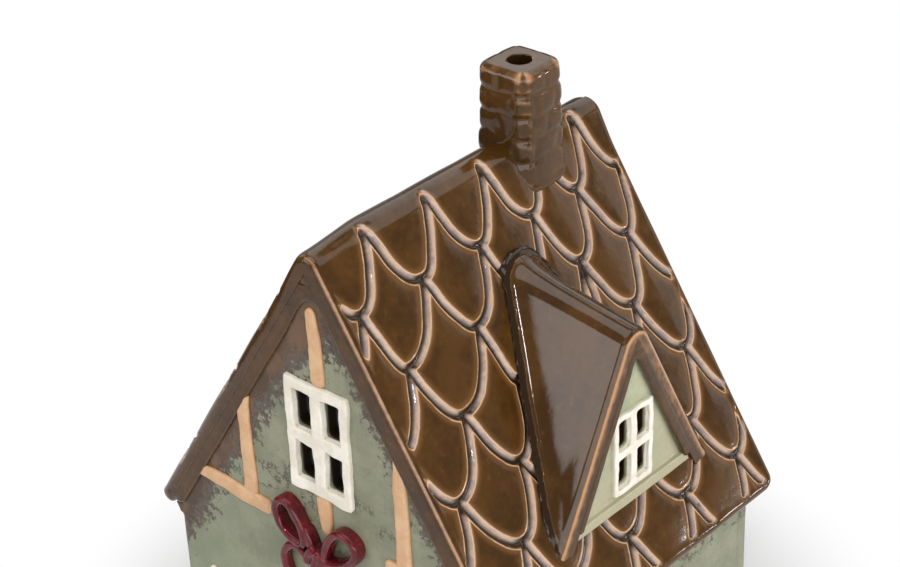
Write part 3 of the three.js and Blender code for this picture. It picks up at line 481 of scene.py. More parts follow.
def build_roof(name, side, courses, seed):
    fold_start = RIDGE_ROUND * math.tan(ROOF_PITCH)
    mitre = ROOF_THICKNESS * math.tan(ROOF_PITCH)
    verge_round = VERGE_ROUND if side > 0 else LEFT_VERGE_ROUND
    ends = house_end - verge_round * ROUND_STEPS
    middle = np.linspace(-ends[-1], ends[-1], int(2 * ends[-1] / GRID))
    stations = np.concatenate([-ends, middle[1:-1], ends[::-1]])
    inward = house_end - np.abs(stations)
    lengths = slope_length - EAVE_ROUND - rounding(inward, EAVE_CORNER_ROUND)

    fold = np.insert(np.linspace(0, ROOF_PITCH, 21)[:-1], 1, RIDGE_START)
    slope = np.linspace(0, 1, int((slope_length - fold_start) / GRID))
    eave = np.linspace(0, math.pi, 13)[1:-1]
    under = np.linspace(1, 0, 24)
    at_ridge = VERGE_ROUND / verge_round
    below_ridge = at_ridge + (1 - at_ridge) * smooth_step(slope * slope_length, 0, LEFT_VERGE_RUN)
    hold = np.concatenate([
        np.full(len(fold), at_ridge), below_ridge, np.linspace(1, UNDER_DRAW, len(eave)),
        np.full(len(under), UNDER_DRAW),
    ])
    level, inverted = np.zeros(len(slope)), np.full(len(under), math.pi)
    facing = ways(np.concatenate([fold, ROOF_PITCH + np.concatenate([level, eave, inverted])]))
    facing[-1] = (0, -1 / math.cos(ROOF_PITCH))
    depth = ROOF_THICKNESS * np.concatenate([level, (1 - np.cos(eave)) / 2, np.ones(len(under))])
    rows, spots = [], []
    for station, draw, end in zip(stations, rounding(inward, verge_round), lengths):
        top = fold_start + (end - fold_start) * slope
        along = np.concatenate([top, end + EAVE_ROUND * np.sin(eave), mitre + (end - mitre) * under])
        section = slab_section(apex, ROOF_PITCH, RIDGE_ROUND, fold, along, depth)
        section -= draw * hold[:, None] * facing
        section[[0, -1], 0] = 0
        rows.append(np.insert(section * (side, 1), 1, station, 1))
        spots.append(np.concatenate([fold_start - RIDGE_ROUND * (ROOF_PITCH - fold), along]))
    rows = np.array(rows)
    total, count = rows.shape[:2]

    tiled = len(fold) + len(slope) + TILED_EAVE
    w = np.array(spots)[:, :tiled].ravel()
    run = np.repeat(stations + house_end, tiled)
    flat = np.column_stack([run, w])
    wander = np.column_stack([flat, np.full(len(flat), seed)])
    flat = flat + 0.32 * np.column_stack([ripple(wander, 7.0, seed), ripple(wander, 7.0, seed + 3)])
    bare_ridge, edge_room = (3.5, 1.0) if side > 0 else (8, 0.2)
    distance = distance_to_edges(flat, *tile_edges(courses, bare_ridge))
    verge = np.minimum(run, 2 * house_end - run)
    relief = smooth_step(verge, edge_room, edge_room + 1.8) * smooth_step(w, 2.5, 5.5)
    relief *= smooth_step(np.repeat(lengths, tiled) - w, -0.2, 1.6)
    height = relief * groove_height(distance)
    height += 0.11 * ripple(np.insert(flat, 2, 0, 1), 14, seed + 5) * smooth_step(w, 3, 8)
    hump = RIDGE_SWELL * smooth_step(run, 2, 20) * (1 - smooth_step(run, 64, 82))
    hump += REAR_SWELL * smooth_step(run, 84, 95)
    height += hump * (1 - smooth_step(w, 2, 18))
    normals = np.insert(facing * (side, 1), 1, 0, 1)
    rows[:, :tiled] += height.reshape(-1, tiled)[..., None] * normals[:tiled]

    made = make_mesh(name, *join_rings(rows))
    part_at_ridge(made, 0, 0)
    flatten_ends(made)
    groove = np.full((total, count), NO_GROOVE)
    near = np.where(relief > 0.05, distance + 2 * (1 - relief), NO_GROOVE)
    groove[:, :tiled] = near.reshape(-1, tiled)
    set_attribute(made, "groove", groove.ravel())
    # Painted reflection: groove banks that face the front store a share of a pale, reflection-like colour.
    facing_front = -vertex_values(made, "normal").reshape(total, count, 3)[:, :tiled, 1].ravel()
    bank = smooth_step(distance, 0.4, 0.65) * (relief > 0.3) * (distance < GROOVE_HALF_WIDTH + 0.2)
    painted_bank_sheen = np.zeros((total, count))
    painted_bank_sheen[:, :tiled] = (smooth_step(facing_front, 0.12, 0.36) * bank).reshape(-1, tiled)
    for axis in (0, 1):
        painted_bank_sheen = (2 * painted_bank_sheen + np.roll(painted_bank_sheen, 1, axis) + np.roll(painted_bank_sheen, -1, axis)) / 4
    set_attribute(made, "painted_bank_sheen", painted_bank_sheen.ravel())
    crest = np.zeros((total, count))
    line = 0.75 * np.exp(-(((inward - 0.35 * verge_round) / 0.45) ** 2))
    crest[:, : len(fold) + len(slope)] = line[:, None]
    set_attribute(made, "crest", crest.ravel())
    return made


def srgb(red, green, blue):
    """Linear colour of 8-bit display values."""
    shares = (c / 255 for c in (red, green, blue))
    return tuple(c / 12.92 if c <= 0.04045 else ((c + 0.055) / 1.055) ** 2.4 for c in shares)


def blend_colours(tree, share, *colours):
    """A mix of two colours, each from a socket or in 8-bit display values."""
    return blend(tree, share, *(srgb(*c) if isinstance(c, tuple) else c for c in colours), kind="RGBA")


def clouds(tree, place, scale, detail=2.0, roughness=0.5):
    """Soft noise about 0.5."""
    return add(tree, "TexNoise", Vector=place, Scale=scale, Detail=detail, Roughness=roughness).outputs["Fac"]


def shader_group(name, inputs, outputs):
    """An empty group of shader nodes, with its sockets as (name, kind) pairs."""
    tree = bpy.data.node_groups.new(name, "ShaderNodeTree")
    for way, sockets in (("INPUT", inputs), ("OUTPUT", outputs)):
        for label, kind in sockets:
            tree.interface.new_socket(label, in_out=way, socket_type="NodeSocket" + kind)
    return tree, tree.nodes.new("NodeGroupInput").outputs, tree.nodes.new("NodeGroupOutput").inputs


def use_group(tree, group, **values):
    node = add(tree, "Group", node_tree=group)
    for key, value in values.items():
        set_input(tree, node.inputs[key.replace("_", " ")], value)
    return node.outputs


def build_mottle():
    """Glaze that varies in depth: clouds of two colours, specks of a third, and an orange-peel skin."""
    colours = (("Thin", "Color"), ("Thick", "Color"), ("Speck", "Color"))
    amounts = tuple((label, "Float") for label in ("Cloud Scale", "Grain Scale", "Speck Share", "Skin"))
    group, given, result = shader_group(
        "mottled_glaze",
        (("Place", "Vector"), *colours, *amounts),
        (("Colour", "Color"), ("Cloud", "Float"), ("Grain", "Float"), ("Normal", "Vector")),
    )
    cloud = clouds(group, given["Place"], given["Cloud Scale"], 4.0, 0.6)
    grain = clouds(group, given["Place"], given["Grain Scale"], 3.0, 0.65)
    uneven = math_node(group, "MULTIPLY_ADD", grain, 0.4, math_node(group, "SUBTRACT", cloud, 0.2))
    colour = blend_colours(group, ramp(group, uneven, 0.35, 0.65), given["Thin"], given["Thick"])
    specks = math_node(group, "MULTIPLY", ramp(group, grain, 0.6, 0.74), given["Speck Share"])
    colour = blend_colours(group, specks, colour, given["Speck"])
    bump = add(group, "Bump", Strength=given["Skin"], Distance=0.0004, Height=uneven).outputs[0]
    for socket, value in zip(result, (colour, cloud, grain, bump)):
        group.links.new(value, socket)
    return group


def build_thinning():
    """Glaze that breaks to another colour where it runs thin over an edge, with a ragged limit."""
    colours = (("Colour", "Color"), ("Edge Colour", "Color"))
    amounts = tuple((label, "Float") for label in ("Crest", "Grain", "Start", "Full", "Share"))
    group, given, result = shader_group("thin_over_edges", colours + amounts, (("Colour", "Color"),))
    waver = math_node(group, "SUBTRACT", given["Grain"], 0.5)
    ragged = math_node(group, "MULTIPLY_ADD", waver, 0.4, given["Crest"])
    span = math_node(group, "SUBTRACT", given["Full"], given["Start"])
    reach = math_node(group, "DIVIDE", math_node(group, "SUBTRACT", ragged, given["Start"]), span)
    share = math_node(group, "MULTIPLY", ramp(group, reach, 0, 1), given["Share"])
    group.links.new(blend_colours(group, share, given["Colour"], given["Edge Colour"]), result["Colour"])
    return group


mottled_glaze = build_mottle()
thin_over_edges = build_thinning()


def new_glaze(name, thin, thick, speck, cloud_scale, grain_scale, speck_share, skin, stretch=(1, 1, 1)):
    """A material with the mottled glaze in its tree, and the glaze's colour, cloud and grain."""
    material, tree, shader = new_material(name)
    place = add(tree, "Mapping", Vector=object_place(tree), Scale=stretch).outputs[0]
    glaze = use_group(
        tree, mottled_glaze, Place=place, Thin=srgb(*thin), Thick=srgb(*thick), Speck=srgb(*speck),
        Cloud_Scale=cloud_scale, Grain_Scale=grain_scale, Speck_Share=speck_share, Skin=skin,
    )
    tree.links.new(glaze["Normal"], shader.inputs["Normal"])
    return material, tree, shader, glaze


def stored(tree, name):
    return add(tree, "Attribute", attribute_name=name).outputs["Fac"]


def thin_edges(tree, glaze, colour, edge_colour, start, full, share):
    """The colour of a glaze that has run thin over the crests stored on its piece."""
    return use_group(
        tree, thin_over_edges, Colour=colour, Edge_Colour=srgb(*edge_colour), Crest=stored(tree, "crest"),
        Grain=glaze["Grain"], Start=start, Full=full, Share=share,
    )["Colour"]


def set_finish(tree, shader, colour, roughness, ior=None):
    set_input(tree, shader.inputs["Base Color"], colour)
    set_input(tree, shader.inputs["Roughness"], roughness)
    if ior:
        shader.inputs["IOR"].default_value = ior


def brown_glaze():
    """Glossy brown glaze: olive brown where it is thick, tan on rims, near black with painted shade where it
    pools in grooves and creases, and a painted pale reflection on groove banks that face the front.
    """
    material, tree, shader, glaze = new_glaze(
        "brown_glaze", (62, 39, 13), (80, 52, 19), (100, 69, 31), 60, 420, 0.35, 0.16
    )
    groove = stored(tree, "groove")
    waver = math_node(tree, "SUBTRACT", glaze["Grain"], 0.5)
    ragged = math_node(tree, "MULTIPLY_ADD", waver, 0.5, groove)
    colour = blend_colours(tree, ramp(tree, ragged, 1.3, 3.2, 0.55, 0), glaze["Colour"], (128, 88, 50))
    # Painted shade, with glaze pooled there too: the floors of grooves and creases, and the inside of the
    # flue, turn near black.
    colour = blend_colours(tree, ramp(tree, groove, 0.5, 1.15, 0.94, 0), colour, (32, 20, 8))
    patch = clouds(tree, object_place(tree), 230, 3.0, 0.6)
    # Painted reflection: the pale colour, in patches, that groove banks facing the front take on.
    milky = blend_colours(tree, ramp(tree, patch, 0.42, 0.62), (206, 178, 158), (168, 150, 146))
    milky = blend_colours(tree, ramp(tree, patch, 0.64, 0.74, 0, 0.7), milky, (74, 60, 56))
    colour = blend_colours(tree, stored(tree, "painted_bank_sheen"), colour, milky)
    off_rim = math_node(tree, "ABSOLUTE", math_node(tree, "SUBTRACT", ragged, GROOVE_HALF_WIDTH + 0.12))
    worn = ramp(tree, off_rim, 0.02, 0.27, 1, 0)
    worn = math_node(tree, "MULTIPLY", worn, ramp(tree, patch, 0.3, 0.55, 0.45, 1))
    colour = blend_colours(tree, worn, colour, (204, 166, 128))
    colour = thin_edges(tree, glaze, colour, (190, 142, 102), 0.35, 0.95, 0.85)
    set_finish(tree, shader, colour, ramp(tree, glaze["Cloud"], 0.3, 0.8, 0.07, 0.13), 1.55)
    return material


glaze_brown = brown_glaze()
roof_right = build_roof("roof_slab_right", 1, RIGHT_COURSES, 1)
settle(roof_right, ["roof_right"], glaze_brown)
roof_left = build_roof("roof_slab_left", -1, regular_courses(), 2)
settle(roof_left, ["roof_left"], glaze_brown)

# Chimney: a square clay tube set astride the ridge, with brick joints pressed in while it was soft and
# a round flue down its middle. Glaze has filled the joints and run thin over its corners, where its tan is
# also a painted highlight, strongest on the side facing the front right; the flue's inside carries painted
# shade.
CHIMNEY_TOP_SIZE = 15
CHIMNEY_TAPER = 0.05  # growth of its width, per millimetre downwards
CHIMNEY_CORNER_ROUND = 2.8
CHIMNEY_TOP_ROUND = 2.3
CHIMNEY_BULGE = 0.4
FLUE_RADIUS = 3
BRICK_COURSE = 5.7
JOINT_DEPTH = 0.42
JOINT_WIDTH = 1.0
COLLAR = 0.3

chimney_low, chimney_high = (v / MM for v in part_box("chimney"))
chimney_middle = (chimney_low.y + chimney_high.y) / 2


def rounded_square(half, corner, count=120):
    """Points and normals round a square with rounded corners, evenly spaced, as two arrays."""
    straight = half - corner
    points, normals = [], []
    side = 2 * straight + corner * math.pi / 2
    for i in range(count):
        along = 4 * side * i / count
        quarter, along = divmod(along, side)
        if along < 2 * straight:
            point, normal = (half, along - straight), (1, 0)
        else:
            turn = (along - 2 * straight) / corner
            normal = (math.cos(turn), math.sin(turn))
            point = (straight + corner * normal[0], straight + corner * normal[1])
        spin = quarter * math.pi / 2
        c, s = math.cos(spin), math.sin(spin)
        points.append((c * point[0] - s * point[1], s * point[0] + c * point[1]))
        normals.append((c * normal[0] - s * normal[1], s * normal[0] + c * normal[1]))
    return np.array(points), np.array(normals)


def roof_skin(x):
    """Height of the roof's rounded outer surface."""
    x = np.abs(x)
    fold = RIDGE_ROUND * math.sin(ROOF_PITCH)
    rounded = apex - RIDGE_ROUND / math.cos(ROOF_PITCH) + np.sqrt(np.maximum(RIDGE_ROUND**2 - x**2, 0))
    return np.where(x < fold, rounded, apex - x * math.tan(ROOF_PITCH))


def brick_joints(along, height):
    """Depth of the brick joints at places along a face and heights below the top."""
    course = np.floor(height / BRICK_COURSE)
    across = np.abs(height / BRICK_COURSE - course - 0.5) * BRICK_COURSE
    level = np.exp(-(((BRICK_COURSE / 2 - across) / JOINT_WIDTH) ** 2)) * (height > BRICK_COURSE / 2)
    brick = CHIMNEY_TOP_SIZE / 2
    shift = np.where(course % 2 == 0, 0.0, brick / 2)
    place = (along + shift) / brick
    upright = np.exp(-(((place - np.round(place)) * brick / JOINT_WIDTH) ** 2))
    return JOINT_DEPTH * np.maximum(level, upright)


def mark_crests(made, rounds=2, gain=1.0):
    """Stores how sharply a surface bends outwards, for glaze that runs thin over its edges, and inwards, for
    shade painted into its hollows.
    """
    mesh = made.data
    count = len(mesh.vertices)
    place = vertex_values(made, "co") / MM
    normal = vertex_values(made, "normal")
    edges = np.zeros(len(mesh.edges) * 2, int)
    mesh.edges.foreach_get("vertices", edges)
    edges = edges.reshape(-1, 2)
    length2 = ((place[edges[:, 0]] - place[edges[:, 1]]) ** 2).sum(1) + 1e-6
    bend = np.zeros(count)
    near = np.zeros(count)
    for a, b in ((0, 1), (1, 0)):
        rise = ((place[edges[:, a]] - place[edges[:, b]]) * normal[edges[:, a]]).sum(1)
        np.add.at(bend, edges[:, a], 2 * rise / length2)
        np.add.at(near, edges[:, a], 1)
    bend = bend / np.maximum(near, 1)
    for _ in range(rounds):
        total = bend.copy()
        for a, b in ((0, 1), (1, 0)):
            np.add.at(total, edges[:, a], bend[edges[:, b]])
        bend = total / (near + 1)
    set_attribute(made, "crest", gain * bend)
    set_attribute(made, "hollow_shade", -gain * bend)


def build_chimney():
    top = chimney_high.z
    outline, facing = rounded_square(CHIMNEY_TOP_SIZE / 2, CHIMNEY_CORNER_ROUND)
    along = np.where(np.abs(facing[:, 0]) > np.abs(facing[:, 1]), outline[:, 1], outline[:, 0])
    corner = smooth_step(np.abs(along), 3.5, 6.5)
    outline = outline + facing * (CHIMNEY_BULGE * (1 - (along / (CHIMNEY_TOP_SIZE / 2)) ** 2) - 0.15)[:, None]
    rings = []

    def ring(points, heights):
        rings.append(np.column_stack([points[:, 0], points[:, 1] + chimney_middle, heights]))

    low = roof_skin(outline[:, 0] * 1.06) - 1.5
    for share in np.linspace(0, 1, 90):
        height = low + (top - CHIMNEY_TOP_ROUND - low) * share
        grown = outline * (1 + CHIMNEY_TAPER * (top - height) / CHIMNEY_TOP_SIZE)[:, None]
        spot = np.column_stack([grown, height])
        drop = brick_joints(along + 0.5 * ripple(spot, 5, 8), top - height + 0.4 * ripple(spot, 7, 9))
        above = np.maximum(height - roof_skin(grown[:, 0]), 0)
        drop = drop * (0.45 + 0.9 * corner + 0.8 * ripple(spot, 5, 3)) * (1 - np.exp(-above / 1.5))
        drop += 0.32 * ripple(spot, 6.5, 4) - COLLAR * np.exp(-above / 1.6) - 0.1
        ring(grown - facing * drop[:, None], height)
    last = rings[-1][:, :2] - np.array([0, chimney_middle])
    for turn in np.linspace(0, math.pi / 2, 12)[1:]:
        drawn = CHIMNEY_TOP_ROUND * (1 - math.cos(turn))
        ring(last - facing * drawn, np.full(len(last), top - CHIMNEY_TOP_ROUND * (1 - math.sin(turn))))
    edge = rings[-1][:, :2] - np.array([0, chimney_middle])
    bearing = np.arctan2(edge[:, 1], edge[:, 0])
    circle = np.column_stack([np.cos(bearing), np.sin(bearing)])
    round_lip = 0.35
    lip = FLUE_RADIUS + round_lip
    for share in np.linspace(0, 1, 16)[1:]:
        ring(edge * (1 - share) + circle * lip * share, np.full(len(edge), top))
    for turn in np.linspace(0, math.pi / 2, 6)[1:]:
        radius = lip - round_lip * math.sin(turn)
        ring(circle * radius, np.full(len(edge), top - round_lip * (1 - math.cos(turn))))
    inner_low = roof_skin(circle[:, 0] * FLUE_RADIUS) - 1.5
    for share in np.linspace(0, 1, 12)[1:]:
        ring(circle * FLUE_RADIUS, np.full(len(edge), top - round_lip) * (1 - share) + inner_low * share)
    vertices, faces = join_rings(rings, closed=True)
    made = make_mesh("brick_chimney", vertices, faces)
    x, y, z = vertices.T
    from_axis = np.hypot(x, y - chimney_middle)
    # Painted highlight: the crests' tan is kept off the foot and the flue's lip, and round the top it is
    # strongest on the side facing the front right, where light falls.
    lit = smooth_step(z - roof_skin(x), 1.0, 3.0)
    lit *= 1 - 0.6 * (from_axis < FLUE_RADIUS + 0.6)
    bearings = np.arctan2(y - chimney_middle, x)
    lit *= np.where(z > top - 0.7, 0.4 + 0.6 * (np.abs(bearings + 0.5) < 1.5), 1)
    mark_crests(made, 5, 2.0 * lit)
    # Painted shade: the inside of the flue is stored as a groove's floor, so the glaze there turns near black.
    set_attribute(made, "groove", np.where(from_axis < FLUE_RADIUS + 0.1, 0.0, NO_GROOVE))
    return settle(made, ["chimney"], glaze_brown)


build_chimney()

# Dormer roof: two small slabs that lean together on a ridge which falls a little towards its front.
# They are set into the big roof with slip, which leaves a rough seam along their feet, dark with pooled glaze
# and painted shade.
DORMER_PITCH = math.radians(62.5)
DORMER_THICKNESS = 4.6
DORMER_RIDGE_ROUND = 5.2
DORMER_EDGE_ROUND = 1.7
DORMER_RIDGE_FALL = 0.16
DORMER_HALF_WIDTH = 28.5
DORMER_SUNK = 1.2
DORMER_FILLET = 1.1
DORMER_FLARE = 1.5
SEAM_HEIGHT = 0.9

dormer_tip, dormer_middle, _ = (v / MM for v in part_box("dormer_roof_front")[1])


def roof_level(x):
    return apex - np.abs(x) * math.tan(ROOF_PITCH)


def dormer_apex(x):
    """Height of the sharp ridge line that the rounded dormer ridge lies under."""
    fall = (dormer_tip - x) * DORMER_RIDGE_FALL
    return roof_level(dormer_tip) + DORMER_HALF_WIDTH * math.tan(DORMER_PITCH) + fall


def build_dormer_slab(name, side, node):
    across, down = math.cos(DORMER_PITCH), math.sin(DORMER_PITCH)
    below = DORMER_RIDGE_ROUND * (1 / across - 1)
    root = (dormer_apex(0) - below - roof_level(0)) / (DORMER_RIDGE_FALL - math.tan(ROOF_PITCH)) - 1.0
    ends = dormer_tip - DORMER_EDGE_ROUND * ROUND_STEPS
    turns = np.insert(np.linspace(0, DORMER_PITCH, 24)[:-1], 1, RIDGE_START)
    eased = 1 - (1 - np.linspace(0, 1, 96)) ** 1.5
    inner = np.full(30, math.pi)
    facing = ways(np.concatenate([turns, DORMER_PITCH + np.concatenate([np.zeros(len(eased)), inner])]))
    facing[-1] = (0, -1 / across)
    depth = np.repeat([0, DORMER_THICKNESS], [len(eased), len(inner)])
    outer = np.arange(len(facing)) < len(turns) + len(eased)
    fold_start = DORMER_RIDGE_ROUND * math.tan(DORMER_PITCH)
    mitre = DORMER_THICKNESS * math.tan(DORMER_PITCH)
    rows, seams, crests = [], [], []
    for x in np.concatenate([np.linspace(root, ends[-1], 110)[:-1], ends[::-1]]):
        room = dormer_tip - x
        peak = dormer_apex(x)
        foot = max((peak - roof_level(x) + DORMER_SUNK) / down, fold_start + 0.6)
        bottom = np.linspace(max(foot - 2.5, mitre + 0.3), mitre, len(inner))
        along = np.concatenate([fold_start + (foot - fold_start) * eased, bottom])
        section = slab_section(peak, DORMER_PITCH, DORMER_RIDGE_ROUND, turns, along, depth)
        above = section[:, 1] - roof_level(x)
        fillet = DORMER_FILLET * np.exp(-np.maximum(above, -0.5) / 1.1)
        fillet += DORMER_FLARE * np.exp(-np.maximum(above, 0) / 8)
        fillet *= outer * (0.2 + 0.8 * smooth_step(room, 0.5, 6))
        draw = rounding(room, DORMER_EDGE_ROUND) * np.where(outer, 1, UNDER_DRAW)
        section += (fillet - draw)[:, None] * facing
        section[[0, -1], 0] = 0
        rows.append(np.insert(section * (side, 1) + (dormer_middle, 0), 0, x, 1))
        # Seam: the foot of the outer face is stored as a groove's floor and turns near black: glaze pooled in
        # the crease, with painted shade.
        seam = np.where(outer & (above < SEAM_HEIGHT), np.maximum(above, 0) * 0.6 + 0.3, NO_GROOVE)
        seams.append(seam)
        crests.append(outer * math.exp(-(((room - 0.12 * DORMER_EDGE_ROUND) / 0.26) ** 2)))
    points, faces = join_rings(rows)
    seam = np.concatenate(seams)
    free = np.abs(points[:, 1] - dormer_middle) > 0.01
    wave = 0.14 * ripple(points, 13, 7 + side) + 0.6 * ripple(points, 1.3, 9 + side) * np.exp(-seam / 1.3)
    points[:, 1] += side * wave * free
    made = make_mesh(name, points, faces)
    part_at_ridge(made, 1, dormer_middle)
    flatten_ends(made)
    set_attribute(made, "crest", np.concatenate(crests))
    set_attribute(made, "groove", seam)
    return settle(made, [node], glaze_brown)


build_dormer_slab("dormer_slab_front", -1, "dormer_roof_front")
build_dormer_slab("dormer_slab_rear", 1, "dormer_roof_rear")

# Walls and floor: slabs of the same clay, joined with slip at the corners and rubbed smooth. The sage
# glaze on the walls meets the brown of the roof in a mottled border, and the floor is left bare.
WALL_VOXEL = 0.55
WALL_SEAM = 0.5
WALL_INSIDE_X = 52.0  # past this, and past the next, the faces of the walls are out of the light
WALL_INSIDE_Y = 48.0
INSIDE_FADE = 0.4
STREAKING = 0.35  # how much longer the glaze's border pattern runs down the wall than across it

under_roof = apex - ROOF_THICKNESS / math.cos(ROOF_PITCH)


def from_bmesh(name, work):
    mesh = bpy.data.meshes.new(name)
    work.to_mesh(mesh)
    work.free()
    return new_object(name, mesh)


def copy_nodes(name, nodes):
    """One loose copy of the CAD nodes, with its doubled vertices merged."""
    work = bmesh.new()
    for node in nodes:
        work.from_mesh(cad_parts[node].data)
    bmesh.ops.remove_doubles(work, verts=work.verts, dist=1e-6)
    return from_bmesh(name, work)


def bake_modifiers(made):
    """Turns a piece and its modifiers into a plain mesh."""
    depsgraph = bpy.context.evaluated_depsgraph_get()
    mesh = bpy.data.meshes.new_from_object(made.evaluated_get(depsgraph))
    made.modifiers.clear()
    old = made.data
    made.data = mesh
    bpy.data.meshes.remove(old)
    mesh.materials.clear()
    shade_smooth(mesh)
    return made


def soften(made, voxel, rounds, factor=0.5):
    """Melts a piece's edges, as wet clay and glaze do."""
    remesh = made.modifiers.new("clay", "REMESH")
    remesh.mode = "VOXEL"
    remesh.voxel_size = voxel * MM
    rub = made.modifiers.new("rub", "SMOOTH")
    rub.factor = factor
    rub.iterations = rounds
    return bake_modifiers(made)


def move_points(made, points):
    made.data.vertices.foreach_set("co", (points * MM).ravel())
    made.data.update()


def roughen(made, amount, scale, seed):
    """Moves a surface in and out a little along its normals, and keeps it above the table."""
    points = vertex_values(made, "co") / MM
    points = points + vertex_values(made, "normal") * (amount * ripple(points, scale, seed))[:, None]
    points[:, 2] = np.maximum(points[:, 2], 0)
    move_points(made, points)


def cut_part(source, name, planes):
    """A closed copy of the part of a piece that lies behind all of the planes, as (point, normal)."""
    work = bmesh.new()
    work.from_mesh(source.data)
    for point, normal in planes:
        geometry = work.verts[:] + work.edges[:] + work.faces[:]
        cut = bmesh.ops.bisect_plane(
            work, geom=geometry, dist=1e-7, plane_co=Vector(point) * MM, plane_no=normal, clear_outer=True
        )
        rim = [e for e in cut["geom_cut"] if isinstance(e, bmesh.types.BMEdge) and e.is_valid]
        bmesh.ops.triangle_fill(work, use_beauty=True, edges=rim)
    bmesh.ops.recalc_face_normals(work, faces=work.faces)
    made = from_bmesh(name, work)
    shade_smooth(made.data)
    return made


def glaze_pattern(tree, place):
    """A place's X and Y, how far it lies below the roof, and a pattern's place there, in millimetres."""
    across, down = math.cos(ROOF_PITCH), math.sin(ROOF_PITCH)
    metres = add(tree, "SeparateXYZ", Vector=place).outputs
    x, y, z = (math_node(tree, "MULTIPLY", value, 1 / MM) for value in metres)
    fall = math_node(tree, "MULTIPLY", math_node(tree, "ABSOLUTE", x), math.tan(ROOF_PITCH))
    drop = math_node(tree, "SUBTRACT", math_node(tree, "SUBTRACT", under_roof, fall), z)
    below = math_node(tree, "MULTIPLY", drop, across)
    sunk = math_node(tree, "MULTIPLY", z, down)
    along = math_node(tree, "SUBTRACT", math_node(tree, "MULTIPLY", x, across), sunk)
    streak = add(tree, "CombineXYZ", X=along, Y=math_node(tree, "MULTIPLY", below, STREAKING), Z=y)
    return x, y, below, streak.outputs[0]


def sage_glaze():
    """Satin sage glaze, mottled brown and violet where the roof's glaze has run over it, with painted shade
    near black on the walls' inner faces.
    """
    material, tree, shader, glaze = new_glaze(
        "sage_glaze", (123, 126, 103), (143, 143, 121), (104, 96, 76), 75, 900, 0.5, 0.25
    )
    place = object_place(tree)
    x, y, below, streak = glaze_pattern(tree, place)
    green = ramp(tree, clouds(tree, place, 38), 0.5, 0.7, 0, 0.45)
    colour = blend_colours(tree, green, glaze["Colour"], (130, 143, 117))
    hair = math_node(tree, "SUBTRACT", clouds(tree, place, 430, 4.0, 0.75), 0.5)
    broad = math_node(tree, "SUBTRACT", clouds(tree, streak, 0.16), 0.5)
    peak = ramp(tree, math_node(tree, "ABSOLUTE", x), 1.0, 9.0, 3.0, 0)
    border = math_node(tree, "ADD", ramp(tree, x, -3.0, 8.0, 7.6, 2.6), peak)
    depth = math_node(tree, "SUBTRACT", below, math_node(tree, "MULTIPLY_ADD", broad, 7.0, border))
    mottle = ramp(tree, math_node(tree, "MULTIPLY_ADD", hair, -22.0, depth), 1.2, 2.6, 0.9, 0)
    violet = blend_colours(tree, ramp(tree, glaze["Grain"], 0.4, 0.6), (92, 78, 74), (70, 56, 46))
    colour = blend_colours(tree, mottle, colour, violet)
    solid = ramp(tree, math_node(tree, "MULTIPLY_ADD", hair, -9.0, depth), -2.6, -0.8, 1, 0)
    brown = blend_colours(tree, ramp(tree, glaze["Cloud"], 0.4, 0.65), (78, 56, 38), (106, 78, 54))
    colour = blend_colours(tree, solid, colour, brown)
    spread = math_node(tree, "ADD", clouds(tree, place, 52), ramp(tree, below, 3.0, 12.0, 0.12, 0))
    vein = math_node(tree, "SUBTRACT", clouds(tree, place, 150, 5.0, 0.7), 0.5)
    vein = ramp(tree, math_node(tree, "ABSOLUTE", vein), 0.008, 0.03, 1, 0)
    cracks = math_node(tree, "MULTIPLY", ramp(tree, spread, 0.56, 0.64, 0, 0.8), vein)
    colour = blend_colours(tree, cracks, colour, (64, 48, 36))
    # Painted shade: faces past both limits, the walls' insides and the sides of the window holes, are coloured
    # near black.
    inside = 1.0
    for way, limit in ((x, WALL_INSIDE_X), (y, WALL_INSIDE_Y)):
        off = math_node(tree, "ABSOLUTE", way)
        painted_shade = ramp(tree, off, limit - INSIDE_FADE, limit + INSIDE_FADE, 1, 0)
        inside = math_node(tree, "MULTIPLY", inside, painted_shade)
    colour = blend_colours(tree, inside, colour, (40, 30, 22))
    set_finish(tree, shader, colour, ramp(tree, solid, 0, 1, 0.42, 0.16), 1.5)
    return material


def bare_clay():
    material, tree, shader, clay = new_glaze(
        "bare_clay", (172, 146, 116), (196, 172, 142), (128, 98, 72), 60, 800, 0.6, 0.5
    )
    set_finish(tree, shader, clay["Colour"], 0.85)
    return material


glaze_sage = sage_glaze()
clay_bare = bare_clay()
wall_nodes = ["wall_front", "wall_rear", "wall_left", "wall_right"]
shell = soften(copy_nodes("shell", wall_nodes + ["floor_slab"]), WALL_VOXEL, 6)
roughen(shell, 0.12, 16, 11)
seam_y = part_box("wall_right")[1].y / MM - WALL_SEAM
seam_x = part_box("floor_slab")[1].x / MM - WALL_SEAM
front_plane, rear_plane = ((0, -seam_y, 0), (0, 1, 0)), ((0, seam_y, 0), (0, -1, 0))
between = [((0, -seam_y, 0), (0, -1, 0)), ((0, seam_y, 0), (0, 1, 0))]
for name, planes, node in (
    ("wall_slab_front", [front_plane], "wall_front"),
    ("wall_slab_rear", [rear_plane], "wall_rear"),
    ("wall_slab_left", between + [((-seam_x, 0, 0), (1, 0, 0))], "wall_left"),
    ("wall_slab_right", between + [((seam_x, 0, 0), (-1, 0, 0))], "wall_right"),
):
    settle(cut_part(shell, name, planes), [node], glaze_sage)
floor_planes = between + [((-seam_x, 0, 0), (-1, 0, 0)), ((seam_x, 0, 0), (1, 0, 0))]
settle(cut_part(shell, "floor_tile", floor_planes), ["floor_slab"], clay_bare)
bpy.data.objects.remove(shell)

